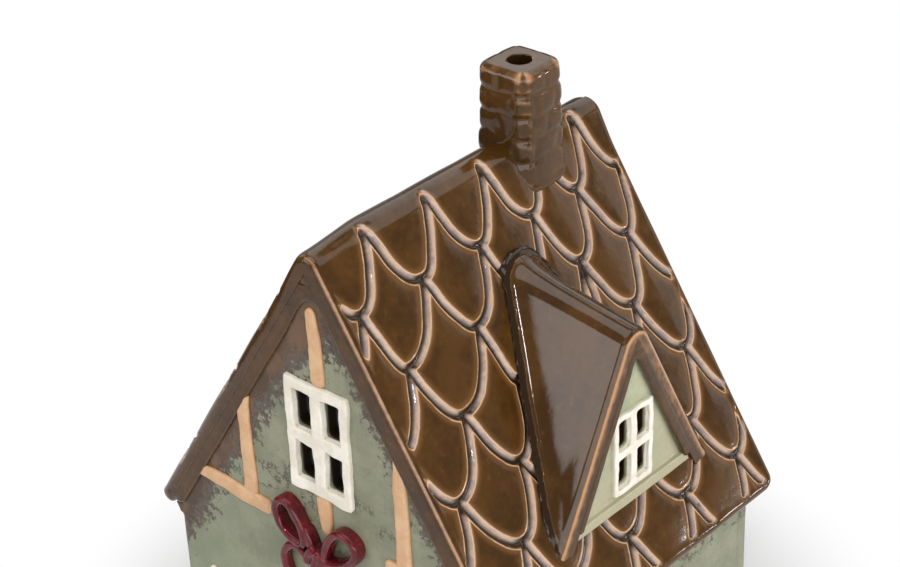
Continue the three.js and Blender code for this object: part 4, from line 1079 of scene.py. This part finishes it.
# Dormer front: a small triangle of clay under pale green glaze, which is thin over its edges, has
# drained to a buff tone towards its sill, and is painted dark, as shade, where the light well begins.
# Painted shade: the depths behind the face from which the glaze is painted dark.
WELL_EDGE = (2.4, 1.6)  # depths behind its face from which it is dark, and up to which it is pale


def celadon_glaze():
    material, tree, shader, glaze = new_glaze(
        "celadon_glaze", (152, 160, 130), (178, 175, 147), (150, 136, 106), 90, 900, 0.4, 0.2
    )
    colour = thin_edges(tree, glaze, glaze["Colour"], (158, 128, 92), 0.3, 0.9, 1.0)
    x, _, z = add(tree, "SeparateXYZ", Vector=object_place(tree)).outputs
    low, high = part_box("dormer_wall")
    drained = ramp(tree, z, low.z, low.z + 0.6 * (high.z - low.z), 0.65, 0)
    colour = blend_colours(tree, drained, colour, (174, 162, 134))
    # Painted shade: past these depths behind the face the glaze turns near black.
    painted_shade = ramp(tree, x, *(high.x - depth * MM for depth in WELL_EDGE), 1, 0)
    colour = blend_colours(tree, painted_shade, colour, (40, 28, 16))
    set_finish(tree, shader, colour, 0.16)
    return material


glaze_celadon = celadon_glaze()
dormer_front = soften(copy_nodes("dormer_gable", ["dormer_wall"]), 0.3, 6)
roughen(dormer_front, 0.12, 6, 21)
mark_crests(dormer_front, 2, 0.2)
settle(dormer_front, ["dormer_wall"], glaze_celadon)

# Windows: cross-barred frames of thick white slip laid round four holes cut right through the wall.
# The slip has slumped a little, and it lines the front of each hole. Shade is painted into its hollows.
FRAME_VOXEL = 0.24
SLEEVE_DEPTH = 0.5
SLEEVE = 0.3


def white_glaze():
    material, tree, shader, glaze = new_glaze(
        "white_slip", (222, 214, 198), (238, 232, 220), (190, 172, 148), 160, 1100, 0.3, 0.2
    )
    # Painted shade: the frames' hollows are coloured a darker tan.
    hollow_shade = ramp(tree, stored(tree, "hollow_shade"), 0.3, 1.0, 0, 0.6)
    set_finish(tree, shader, blend_colours(tree, hollow_shade, glaze["Colour"], (176, 152, 120)), 0.3)
    shader.inputs["Subsurface Weight"].default_value = 0.1
    shader.inputs["Subsurface Radius"].default_value = (0.0008, 0.0006, 0.0004)
    return material


def box_mesh(name, boxes):
    """Boxes given by their corners, as one loose mesh that soften() melts together."""
    work = bmesh.new()
    for low, high in np.array(boxes):
        size = Matrix.Diagonal((*((high - low) * MM), 1))
        place = Matrix.Translation(Vector((low + high) / 2) * MM)
        bmesh.ops.create_cube(work, size=1, matrix=place @ size)
    return from_bmesh(name, work)


def build_window(name, node, pane_wide, pane_high, bar, way, seed, trim=0.0):
    """way is the wall's outward direction: '-y', '+x' or '-x'. trim narrows the frame on each side."""
    low, high = (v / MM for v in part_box(node))
    if way == "-y":
        along, out, face = 0, 1, high.y
    else:
        along, out, face = 1, 0, (low.x if way == "+x" else high.x)
    sign = 1 if way == "+x" else -1
    proud = (high - low)[out]
    middle = (low + high) / 2
    half_wide, half_high = (high - low)[along] / 2 - trim, (high - low).z / 2 - trim / 2
    boxes = []

    def bar_box(a0, a1, z0, z1, front, back):
        first, last = [0, 0, 0], [0, 0, 0]
        first[along], last[along] = middle[along] + a0, middle[along] + a1
        first[2], last[2] = middle.z + z0, middle.z + z1
        ends = sorted((face + sign * front, face - sign * back))
        first[out], last[out] = ends
        boxes.append((first, last))

    for front, back, grow in ((proud, 0.2, 0), (0, SLEEVE_DEPTH, SLEEVE)):
        edge_in, edge_up = pane_wide + bar / 2 - grow, pane_high + bar / 2 - grow
        for side in (-1, 1):
            bar_box(*sorted((side * edge_in, side * half_wide)), -half_high, half_high, front, back)
            bar_box(-half_wide, half_wide, *sorted((side * edge_up, side * half_high)), front, back)
        bar_box(-bar / 2 - grow, bar / 2 + grow, -half_high, half_high, front, back)
        bar_box(-half_wide, half_wide, -bar / 2 - grow, bar / 2 + grow, front, back)
    made = soften(box_mesh(name, boxes), FRAME_VOXEL, 9)
    points = vertex_values(made, "co") / MM
    shake = np.column_stack([ripple(points, 5, seed + axis) for axis in range(3)])
    shake[:, out] *= 0.4
    move_points(made, points + 0.5 * shake)
    roughen(made, 0.1, 1.8, seed + 3)
    mark_crests(made, 2, 0.7)
    return settle(made, [node], glaze_white)


glaze_white = white_glaze()
build_window("gable_frame", "gable_window", 5.6, 10.4, 3.6, "-y", 31, 1.0)
build_window("dormer_frame", "dormer_window", 4.7, 8.2, 2.2, "+x", 32, 0.7)
for count, (name, node, way) in enumerate(
    (
        ("ground_frame_left", "ground_window_left", "-y"),
        ("ground_frame_right", "ground_window_right", "-y"),
        ("side_frame_left", "side_window_left", "-x"),
        ("side_frame_right", "side_window_right", "+x"),
    )
):
    build_window(name, node, 4.6, 7.4, 2.9, way, 41 + 5 * count)

# Timbers: strokes of peach slip trailed on the walls with a nozzle, domed across and soft at their ends.
# They follow the middle lines of the CAD timbers, a little askew.
STROKE_PROUD = 0.85
STROKE_SINK = 0.9

wall_front_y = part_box("gable_window")[1].y / MM
wall_side_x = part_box("side_window_right")[0].x / MM
# How each wall's plane lies: its turns about X and Z, and a point on it
WALL_PLANES = {
    "front": ((math.pi / 2, 0, 0), (0, wall_front_y, 0)),
    "right": ((math.pi / 2, 0, math.pi / 2), (wall_side_x, 0, 0)),
    "left": ((math.pi / 2, 0, -math.pi / 2), (-wall_side_x, 0, 0)),
}

# Strokes on the front wall, with their widths. Each point lies at a share of its timber's length, with
# offsets along and across it, and has a share of the width.
FRONT_STROKES = (
    ("king_stroke_upper", "king_post_upper", 4.3,
     ((0, -0.6, 0.8, 1.05), (0.5, 0, 0.6, 0.95), (1, -3, -0.1, 0.82), (1, 0, -0.2, 0.7))),
    ("king_stroke_lower", "king_post_lower", 4.3, ((0, -1.2, 0.3, 0.6), (0, 3, 0.2, 0.95), (1, 0.8, 0, 1.1))),
    ("post_stroke_left", "post_left", 4.2,
     ((0, -1.2, 0.3, 1.1), (0, 8, 0.1, 1), (1, -9, -0.4, 0.95), (1, -0.4, -0.5, 1.4))),
    ("post_stroke_right", "post_right", 4.2,
     ((0, -1.2, 0, 1.15), (0, 10, -0.1, 1.05), (1, -8, -0.3, 1), (1, -0.8, -0.5, 0.75))),
    ("rail_stroke_left", "rail_left", 4.3,
     ((0, 0.2, 0.8, 0.75), (0, 8, 0.6, 0.95), (1, -8, -0.2, 1.1), (1, 0.8, -0.4, 1))),
    ("rail_stroke_right", "rail_right", 4.3, ((0, 0, 0, 1), (0, 9, 0, 1.05), (1, 0, 0, 0.8))),
)
SIDE_STROKE_WIDTH = 4.2


def peach_slip():
    material, tree, shader, slip = new_glaze(
        "peach_slip", (204, 158, 116), (216, 178, 138), (176, 124, 84), 120, 1300, 0.4, 0.25
    )
    rim = ramp(tree, stored(tree, "rim"), 0.45, 1.0, 0, 0.8)
    set_finish(tree, shader, blend_colours(tree, rim, slip["Colour"], (168, 116, 76)), 0.38)
    return material


def geometry_tree(name, inputs):
    """An empty tree of geometry nodes, with the inputs that a modifier can set as (name, kind) pairs."""
    tree = bpy.data.node_groups.new(name, "GeometryNodeTree")
    tree.interface.new_socket("Geometry", in_out="INPUT", socket_type="NodeSocketGeometry")
    for label, kind in inputs:
        tree.interface.new_socket(label, in_out="INPUT", socket_type="NodeSocket" + kind)
    tree.interface.new_socket("Geometry", in_out="OUTPUT", socket_type="NodeSocketGeometry")
    return tree, tree.nodes.new("NodeGroupInput").outputs, tree.nodes.new("NodeGroupOutput").inputs


def shape(tree, kind, **values):
    """The first output of a geometry node."""
    return put(tree, "GeometryNode" + kind, **values).outputs[0]


def build_trail():
    """A tree that lays a bar of soft clay or slip along lines drawn on a wall as (along, up, out)."""
    lengths = ("Width", "Height", "Edge Round", "Step", "Blunt Ends", "Wander", "Lumps", "Seed")
    sockets = tuple((label, "Float") for label in lengths)
    sockets += (("Turn", "Vector"), ("Place", "Vector"), ("Glaze", "Material"))
    tree, given, result = geometry_tree("trail_of_slip", sockets)
    line = shape(tree, "MeshToCurve", Mesh=given["Geometry"])
    line = shape(tree, "CurveSplineType", spline_type="CATMULL_ROM", Curve=line)
    line = shape(tree, "ResampleCurve", mode="LENGTH", Curve=line, Length=given["Step"])
    spot = shape(tree, "InputPosition")
    noisy = {"noise_dimensions": "4D", "Vector": spot, "W": given["Seed"], "Detail": 1.0}
    drift = add(tree, "TexNoise", Scale=170.0, **noisy).outputs["Color"]
    centred = add(tree, "VectorMath", operation="SUBTRACT", Vector=drift)
    centred.inputs[1].default_value = (0.5, 0.5, 0.5)
    shift = add(tree, "VectorMath", operation="SCALE", Vector=centred.outputs[0], Scale=given["Wander"])
    line = shape(tree, "SetPosition", Geometry=line, Offset=shift.outputs[0])
    line = shape(tree, "SetCurveNormal", mode="Z_UP", Curve=line)

    run = put(tree, "GeometryNodeSplineParameter").outputs["Length"]
    whole = put(tree, "GeometryNodeSplineLength").outputs["Length"]
    near_end = math_node(tree, "MINIMUM", run, math_node(tree, "SUBTRACT", whole, run))
    reach = math_node(tree, "DIVIDE", near_end, math_node(tree, "MULTIPLY", given["Width"], 0.42))
    short = math_node(tree, "MAXIMUM", math_node(tree, "SUBTRACT", 1.0, reach), 0.0)
    short = math_node(tree, "MULTIPLY", math_node(tree, "MULTIPLY", short, short), given["Blunt Ends"])
    tip = math_node(tree, "SQRT", math_node(tree, "MAXIMUM", math_node(tree, "SUBTRACT", 1.0, short), 0.03))
    girth = shape(tree, "InputNamedAttribute", data_type="FLOAT", Name="girth")
    profile = shape(tree, "CurvePrimitiveQuadrilateral", Width=given["Width"], Height=given["Height"])
    profile = shape(
        tree, "FilletCurve", mode="POLY", Curve=profile, Count=6, Radius=given["Edge Round"],
        Limit_Radius=True,
    )
    profile = shape(tree, "ResampleCurve", mode="LENGTH", Curve=profile, Length=given["Step"])
    scale = math_node(tree, "MULTIPLY", tip, girth)
    body = shape(tree, "CurveToMesh", Curve=line, Profile_Curve=profile, Scale=scale, Fill_Caps=True)

    bumps = math_node(tree, "SUBTRACT", add(tree, "TexNoise", Scale=420.0, **noisy).outputs["Fac"], 0.5)
    lump = math_node(tree, "MULTIPLY", bumps, given["Lumps"])
    push = add(tree, "VectorMath", operation="SCALE", Vector=shape(tree, "InputNormal"), Scale=lump)
    body = shape(tree, "SetPosition", Geometry=body, Offset=push.outputs[0])
    up = add(tree, "SeparateXYZ", Vector=spot).outputs[2]
    crown = math_node(tree, "DIVIDE", up, math_node(tree, "MULTIPLY", given["Height"], 0.5))
    low = math_node(tree, "SUBTRACT", 1.0, crown)
    body = shape(
        tree, "StoreNamedAttribute", data_type="FLOAT", domain="POINT", Geometry=body, Name="rim", Value=low
    )
    body = shape(tree, "Transform", Geometry=body, Translation=given["Place"], Rotation=given["Turn"])
    body = shape(tree, "SetShadeSmooth", Geometry=body)
    body = shape(tree, "RealizeInstances", Geometry=body)
    body = shape(tree, "SetMaterial", Geometry=body, Material=given["Glaze"])
    tree.links.new(body, result["Geometry"])
    return tree


def grow(made, tree, **values):
    """Runs a tree of geometry nodes on a piece, with its inputs by their names, and keeps the mesh."""
    modifier = made.modifiers.new("shape", "NODES")
    modifier.node_group = tree
    for item in tree.interface.items_tree:
        if item.in_out == "INPUT" and item.name.replace(" ", "_") in values:
            modifier[item.identifier] = values[item.name.replace(" ", "_")]
    return bake_modifiers(made)


def lay_trail(
    name, lines, wall, glaze, width, height, edge, seed, step=0.4, blunt=1.0, wander=0.6, lumps=0.3
):
    """lines are (points, closed), with each point as (along, up, out, share of the width)."""
    points, edges = [], []
    for line, closed in lines:
        start, count = len(points), len(line)
        points += line
        edges += [(start + i, start + (i + 1) % count) for i in range(count if closed else count - 1)]
    points = np.array(points, float)
    mesh = bpy.data.meshes.new(name)
    mesh.from_pydata((points[:, :3] * MM).tolist(), edges, [])
    made = new_object(name, mesh)
    set_attribute(made, "girth", points[:, 3])
    turn, place = WALL_PLANES[wall]
    grow(
        made, trail_of_slip, Width=width * MM, Height=height * MM, Edge_Round=edge * MM, Step=step * MM,
        Blunt_Ends=blunt, Wander=wander * MM, Lumps=lumps * MM, Seed=float(seed), Turn=turn,
        Place=tuple(v * MM for v in place), Glaze=glaze,
    )
    outward(made)
    return made


def build_stroke(name, node, points, width, wall, seed):
    """A domed stroke through (along, up, share of the width) points, half sunk in the wall."""
    line = [(along, up, STROKE_PROUD - STROKE_SINK, share) for along, up, share in points]
    made = lay_trail(name, [(line, False)], wall, glaze_peach, width, 2 * STROKE_SINK, 0.8, seed)
    return settle(made, [node], glaze_peach)


def build_front_stroke(name, node, width, points, seed):
    low, high = (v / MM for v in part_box(node))
    middle, size = (low + high) / 2, high - low
    line = []
    for share, along, across, wide in points:
        if node.startswith("rail"):
            line.append((low.x + share * size.x + along, middle.z + across, wide))
        else:
            line.append((middle.x + across, low.z + share * size.z + along, wide))
    build_stroke(name, node, line, width, "front", seed)


def build_side_stroke(side, seed):
    node = "side_rail_" + side
    wall = side.split("_")[0]
    low, high = (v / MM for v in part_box(node))
    way = 1 if wall == "right" else -1
    z = (low.z + high.z) / 2
    line = ((way * low.y, z, 1), (way * (low.y + high.y) / 2, z + 0.2, 1.05), (way * high.y, z, 0.95))
    build_stroke(node.replace("rail", "stroke"), node, line, SIDE_STROKE_WIDTH, wall, seed)


glaze_peach = peach_slip()
trail_of_slip = build_trail()
for seed, stroke in enumerate(FRONT_STROKES, 1):
    build_front_stroke(*stroke, seed)
for seed, side in enumerate(("right_front", "right_rear", "left_front", "left_rear"), 10):
    build_side_stroke(side, seed)

# Slip fillets: the roofs' brown glaze over beads of slip that were pressed into the corners between the
# gables and the roof slabs above them, with a finger, so that no joint shows.
FILLET_EDGE = 0.45  # rounding of a bead's edges, as a share of its height
FILLET_INSET = 5.5  # from the eaves to the ends of the front and rear beads
FILLET_CROWN = ((-0.3, 0.6), (0, 0), (0.3, 0.6))  # line of its thick middle, in widths of the bead

dormer_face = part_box("dormer_wall")[1].x / MM
WALL_PLANES["rear"] = ((math.pi / 2, 0, math.pi), (0, -wall_front_y, 0))
WALL_PLANES["dormer"] = ((math.pi / 2, 0, math.pi / 2), (dormer_face, 0, 0))


def build_fillet(name, wall, peak, middle, half_wide, pitch, width, height, shares, seed):
    """A bead under two slabs that lean together. peak is the height where their undersides meet."""
    line = []
    for step in (-1, -0.7, -0.45, -0.22, -0.07, 0.07, 0.22, 0.45, 0.7, 1):
        up = peak - math.tan(pitch) * half_wide * math.hypot(step, 0.018)
        line.append((middle + half_wide * step, up, 0.0, shares[0] if step < 0 else shares[1]))
    crown = [(middle + width * a, peak - width * b, 0.0, 0.75) for a, b in FILLET_CROWN]
    made = lay_trail(
        name, [(line, False), (crown, False)], wall, glaze_brown, width, height, FILLET_EDGE * height, seed,
        step=0.5, wander=0.2, lumps=0.2,
    )
    set_attribute(made, "groove", np.full(len(made.data.vertices), NO_GROOVE))
    return settle(made, [], glaze_brown)


half_gable = eave_reach - FILLET_INSET
build_fillet("front_fillet", "front", under_roof, 0, half_gable, ROOF_PITCH, 6.8, 2.8, (0.85, 0.65), 71)
build_fillet("rear_fillet", "rear", under_roof, 0, half_gable, ROOF_PITCH, 6.8, 2.6, (0.7, 0.7), 72)
under_dormer = dormer_apex(dormer_face) - DORMER_THICKNESS / math.cos(DORMER_PITCH)
build_fillet(
    "dormer_fillet", "dormer", under_dormer, dormer_middle, 21.5, DORMER_PITCH, 3.6, 1.8, (0.8, 0.8), 73
)

# Front door: a slab of clay laid on the wall and scored into planks, with a turned clay knob. Brown
# glaze with a grain drawn along the planks covers the slab, and the knob is dipped in the peach slip.


def door_glaze():
    material, tree, shader, glaze = new_glaze(
        "door_glaze", (78, 48, 20), (106, 68, 30), (52, 32, 16), 330, 900, 0.6, 0.3, stretch=(1, 1, 0.15)
    )
    colour = thin_edges(tree, glaze, glaze["Colour"], (186, 138, 96), 0.35, 0.9, 0.9)
    set_finish(tree, shader, colour, 0.14)
    return material


front_door = soften(copy_nodes("plank_door", ["door"]), 0.28, 5)
roughen(front_door, 0.1, 5, 51)
mark_crests(front_door, 2, 0.8)
settle(front_door, ["door"], door_glaze())


def level_ring(reach, height, count):
    """Points round the Z axis at a height. reach is one radius for all, or one for each."""
    angle = np.arange(count) * 2 * math.pi / count
    return np.column_stack([reach * np.cos(angle), reach * np.sin(angle), np.full(count, height)])


def turned(name, profile, middle=(0, 0, 0), way=(0, 0, 1), count=48):
    """A turned piece from (radius, height) points, closed on its axis, standing along 'way'."""
    turn = Vector(way).to_track_quat("Z", "Y").to_matrix()
    rings = [level_ring(max(radius, 1e-4), height, count) for radius, height in profile]
    vertices, faces = join_rings(rings)
    made = make_mesh(name, vertices @ np.array(turn).T + np.array(middle), faces)
    work = bmesh.new()
    work.from_mesh(made.data)
    bmesh.ops.remove_doubles(work, verts=work.verts, dist=1e-6)
    work.to_mesh(made.data)
    work.free()
    return made


# Radius and height of the knob's outline, as shares of its radius
KNOB_OUTLINE = (
    (0.72, -0.25), (0.7, 0.2), (0.72, 0.4), (0.88, 0.6), (0.98, 0.85), (1, 1.1), (0.93, 1.4), (0.78, 1.62),
    (0.55, 1.78), (0.28, 1.85), (0, 1.86),
)

knob_low, knob_high = (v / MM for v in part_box("door_knob"))
knob_radius = (knob_high.x - knob_low.x) / 2
knob_profile = [(0.0, -0.4)] + [(knob_radius * r, knob_radius * z) for r, z in KNOB_OUTLINE]
knob_middle = ((knob_low.x + knob_high.x) / 2, knob_high.y, (knob_low.z + knob_high.z) / 2)
settle(turned("knob", knob_profile, knob_middle, (0, -1, 0)), ["door_knob"], glaze_peach)

# Bow: flat strips of clay stood on edge, looped and pinched together over the door, under red glaze
# that runs thin and pink over their edges, with shade painted into their hollows.
STRIP_WIDTH = 2.3
STRIP_SINK = 0.4
STRIP_EDGE = 0.9
STRIP_VOXEL = 0.25


def red_glaze():
    material, tree, shader, glaze = new_glaze(
        "red_glaze", (78, 11, 20), (104, 20, 32), (150, 60, 66), 220, 800, 0.3, 0.2
    )
    # Painted shade: the strips' hollows are coloured a darker red.
    hollow_shade = ramp(tree, stored(tree, "hollow_shade"), 0.1, 0.9, 0, 0.8)
    colour = blend_colours(tree, hollow_shade, glaze["Colour"], (52, 8, 14))
    set_finish(tree, shader, thin_edges(tree, glaze, colour, (176, 88, 90), 0.5, 1.6, 0.7), 0.08, 1.55)
    return material


def build_strips(name, node, strips, seed):
    """Strips as (points, closed, depth), with points as (along, up) or (along, up, share of the width)."""
    lines = []
    for points, closed, depth in strips:
        out = depth / 2 - STRIP_SINK
        lines.append(([(p[0], p[1], out, p[2] if len(p) > 2 else 1.0) for p in points], closed))
    made = lay_trail(
        name, lines, "front", glaze_red, STRIP_WIDTH, strips[0][2], STRIP_EDGE, seed,
        step=0.35, blunt=0.6, wander=0.3, lumps=0.2,
    )
    soften(made, STRIP_VOXEL, 3)
    mark_crests(made, 2, 0.8)
    return settle(made, [node], glaze_red)


glaze_red = red_glaze()
build_strips("bow_left_loop", "bow_loop_left", [
    (((-6.6, 60.6), (-10.0, 61.3), (-12.8, 63.4), (-14.1, 65.9), (-14.3, 68.4), (-12.9, 70.6), (-10.8, 71.1),
      (-8.6, 69.7), (-7.1, 67.6), (-6.0, 65.0), (-5.4, 62.2)), True, 3.9),
    (((-2.9, 57.4), (-3.0, 60.2), (-3.9, 63.2), (-5.6, 65.6)), False, 3.3),
], 61)
build_strips("bow_right_loop", "bow_loop_right", [
    (((0.4, 58.6), (1.2, 61.6), (2.5, 65.0), (4.6, 68.0), (7.0, 69.4), (9.5, 68.9), (11.1, 67.4), (11.3, 65.1),
      (10.1, 62.9), (7.5, 60.9), (4.0, 59.2)), True, 3.9),
], 62)
build_strips("bow_centre", "bow_knot", [
    (((-4.3, 56.4), (-3.6, 59.2), (-1.9, 61.8)), False, 4.6),
    (((-2.2, 55.8), (-1.2, 58.4), (-0.3, 61.6)), False, 4.9),
    (((-0.2, 55.6, 0.85), (0.6, 58.2, 0.85), (0.9, 60.6, 0.8)), False, 4.4),
], 63)
build_strips("bow_left_tail", "bow_tail_left", [
    (((-3.4, 57.6), (-5.6, 57.2), (-8.8, 58.6), (-11.2, 57.9), (-13.2, 55.3), (-13.4, 52.0), (-12.2, 48.6),
      (-11.4, 47.0, 0.8)), False, 3.0),
], 64)
build_strips("bow_right_tail", "bow_tail_right", [
    (((-0.6, 56.0), (1.2, 53.4), (3.8, 50.4), (6.6, 48.4), (8.9, 47.4, 0.8)), False, 3.0),
], 65)

# Tea light: wax in a pressed foil cup, with a cotton wick held by a small steel tab. It stands loose on
# the floor of the house.
FOIL = 0.35
FLUTES = 36
FLUTE_DEPTH = 0.22
CUP_SEGMENTS = 144
WICK_SEGMENTS = 24
WICK_STRANDS = 3
WICK_TWIST = 8.0  # turn of the strands from the wick's foot to its tip, in radians


def bump_skin(tree, shader, height, strength, distance):
    bump = add(tree, "Bump", Strength=strength, Distance=distance, Height=height)
    tree.links.new(bump.outputs[0], shader.inputs["Normal"])


def foil():
    material, tree, shader = new_material("foil")
    grain = clouds(tree, object_place(tree), 500)
    set_finish(tree, shader, srgb(205, 206, 210), ramp(tree, grain, 0.3, 0.7, 0.24, 0.36))
    shader.inputs["Metallic"].default_value = 1
    bump_skin(tree, shader, grain, 0.1, 0.0002)
    return material


def paraffin():
    material, tree, shader = new_material("paraffin")
    cloud = clouds(tree, object_place(tree), 180, 3.0)
    milky = blend_colours(tree, ramp(tree, cloud, 0.3, 0.7), (236, 231, 219), (246, 243, 235))
    set_finish(tree, shader, milky, 0.45)
    shader.inputs["Subsurface Weight"].default_value = 0.3
    shader.inputs["Subsurface Radius"].default_value = (0.004, 0.003, 0.002)
    bump_skin(tree, shader, cloud, 0.15, 0.0003)
    return material


def cotton():
    material, tree, shader = new_material("cotton")
    twist = add(tree, "TexWave", Scale=900.0, Distortion=2.0, Vector=object_place(tree)).outputs["Fac"]
    set_finish(tree, shader, blend_colours(tree, twist, (222, 214, 196), (240, 235, 222)), 0.9)
    bump_skin(tree, shader, twist, 0.5, 0.0001)
    return material


def build_cup():
    low, high = (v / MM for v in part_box("tea_light_cup"))
    radius, bottom, top = high.x, low.z, high.z
    flute = FLUTE_DEPTH * (np.cos(FLUTES * np.arange(CUP_SEGMENTS) * 2 * math.pi / CUP_SEGMENTS) - 1)
    outer = [(0.02, bottom, 0), (radius - 2.2, bottom, 0), (radius - 1.4, bottom + 0.15, 0)]
    outer += [(radius - 0.8, bottom + 0.8, 0.6)]
    outer += [(radius - 0.4, bottom + z, 1.0) for z in np.linspace(2, top - bottom - 2, 10)]
    outer += [(radius - 0.3, top - 1.3, 0.3), (radius, top - 0.9, 0), (radius, top - 0.2, 0)]
    outer += [(radius - 0.15, top, 0)]
    inner = [(reach - FOIL, z + (FOIL if z < bottom + 1 else 0), share) for reach, z, share in outer[::-1]]
    inner[-1] = (0.02, bottom + FOIL, 0)
    inner[0] = (radius - FOIL, top - 0.05, 0)
    rings = [level_ring(reach + share * flute, z, CUP_SEGMENTS) for reach, z, share in outer + inner]
    made = make_mesh("foil_cup", *join_rings(rings))
    settle(made, ["tea_light_cup"], foil(), "tea_light")


def build_wax(wick_radius):
    low, high = (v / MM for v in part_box("tea_light_wax"))
    radius, base, level = high.x - 0.25, low.z, high.z
    profile = [(0.0, base + 0.6), (radius - 2, base + 0.6), (radius - 0.9, base + 1.4)]
    profile += [(radius - 0.6, z) for z in (base + 3, *np.linspace(base + 4, level - 0.6, 6))]
    profile += [(radius - 0.7, level - 0.2), (radius - 1.4, level - 0.55)]
    profile += [(radius * share, level - sunk) for share, sunk in ((0.8, 0.7), (0.5, 0.75), (0.2, 0.6))]
    profile += [(wick_radius * 2.2, level - 0.3), (wick_radius * 1.4, level - 0.05), (0.0, level)]
    settle(turned("wax", profile, count=96), ["tea_light_wax"], paraffin(), "tea_light")


def build_wick():
    low, high = (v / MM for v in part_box("wick"))
    angle = np.arange(WICK_SEGMENTS) * 2 * math.pi / WICK_SEGMENTS
    rings = []
    for share in np.linspace(0, 1, 40):
        strands = 1 + 0.12 * np.cos(WICK_STRANDS * (angle + WICK_TWIST * share))
        reach = 0.9 * high.x * strands * (1 if share < 0.95 else 0.75)
        ring = level_ring(reach, low.z + (high.z - low.z) * share, WICK_SEGMENTS)
        rings.append(ring + (0.25 * high.x * share**2, 0, 0))
    settle(make_mesh("cotton_wick", *join_rings(rings)), ["wick"], cotton(), "tea_light")

    low, high = (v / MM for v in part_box("wick_tab"))
    radius, bottom = high.x, low.z
    profile = [(0.0, bottom), (radius - 0.2, bottom), (radius, bottom + 0.2), (radius - 0.2, bottom + 0.45)]
    profile += [(2.0, bottom + 0.5), (1.6, bottom + 0.9), (1.5, high.z), (0.0, high.z)]
    settle(turned("wick_foot", profile), ["wick_tab"], foil(), "tea_light")


build_cup()
build_wax(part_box("wick")[1].x / MM)
build_wick()
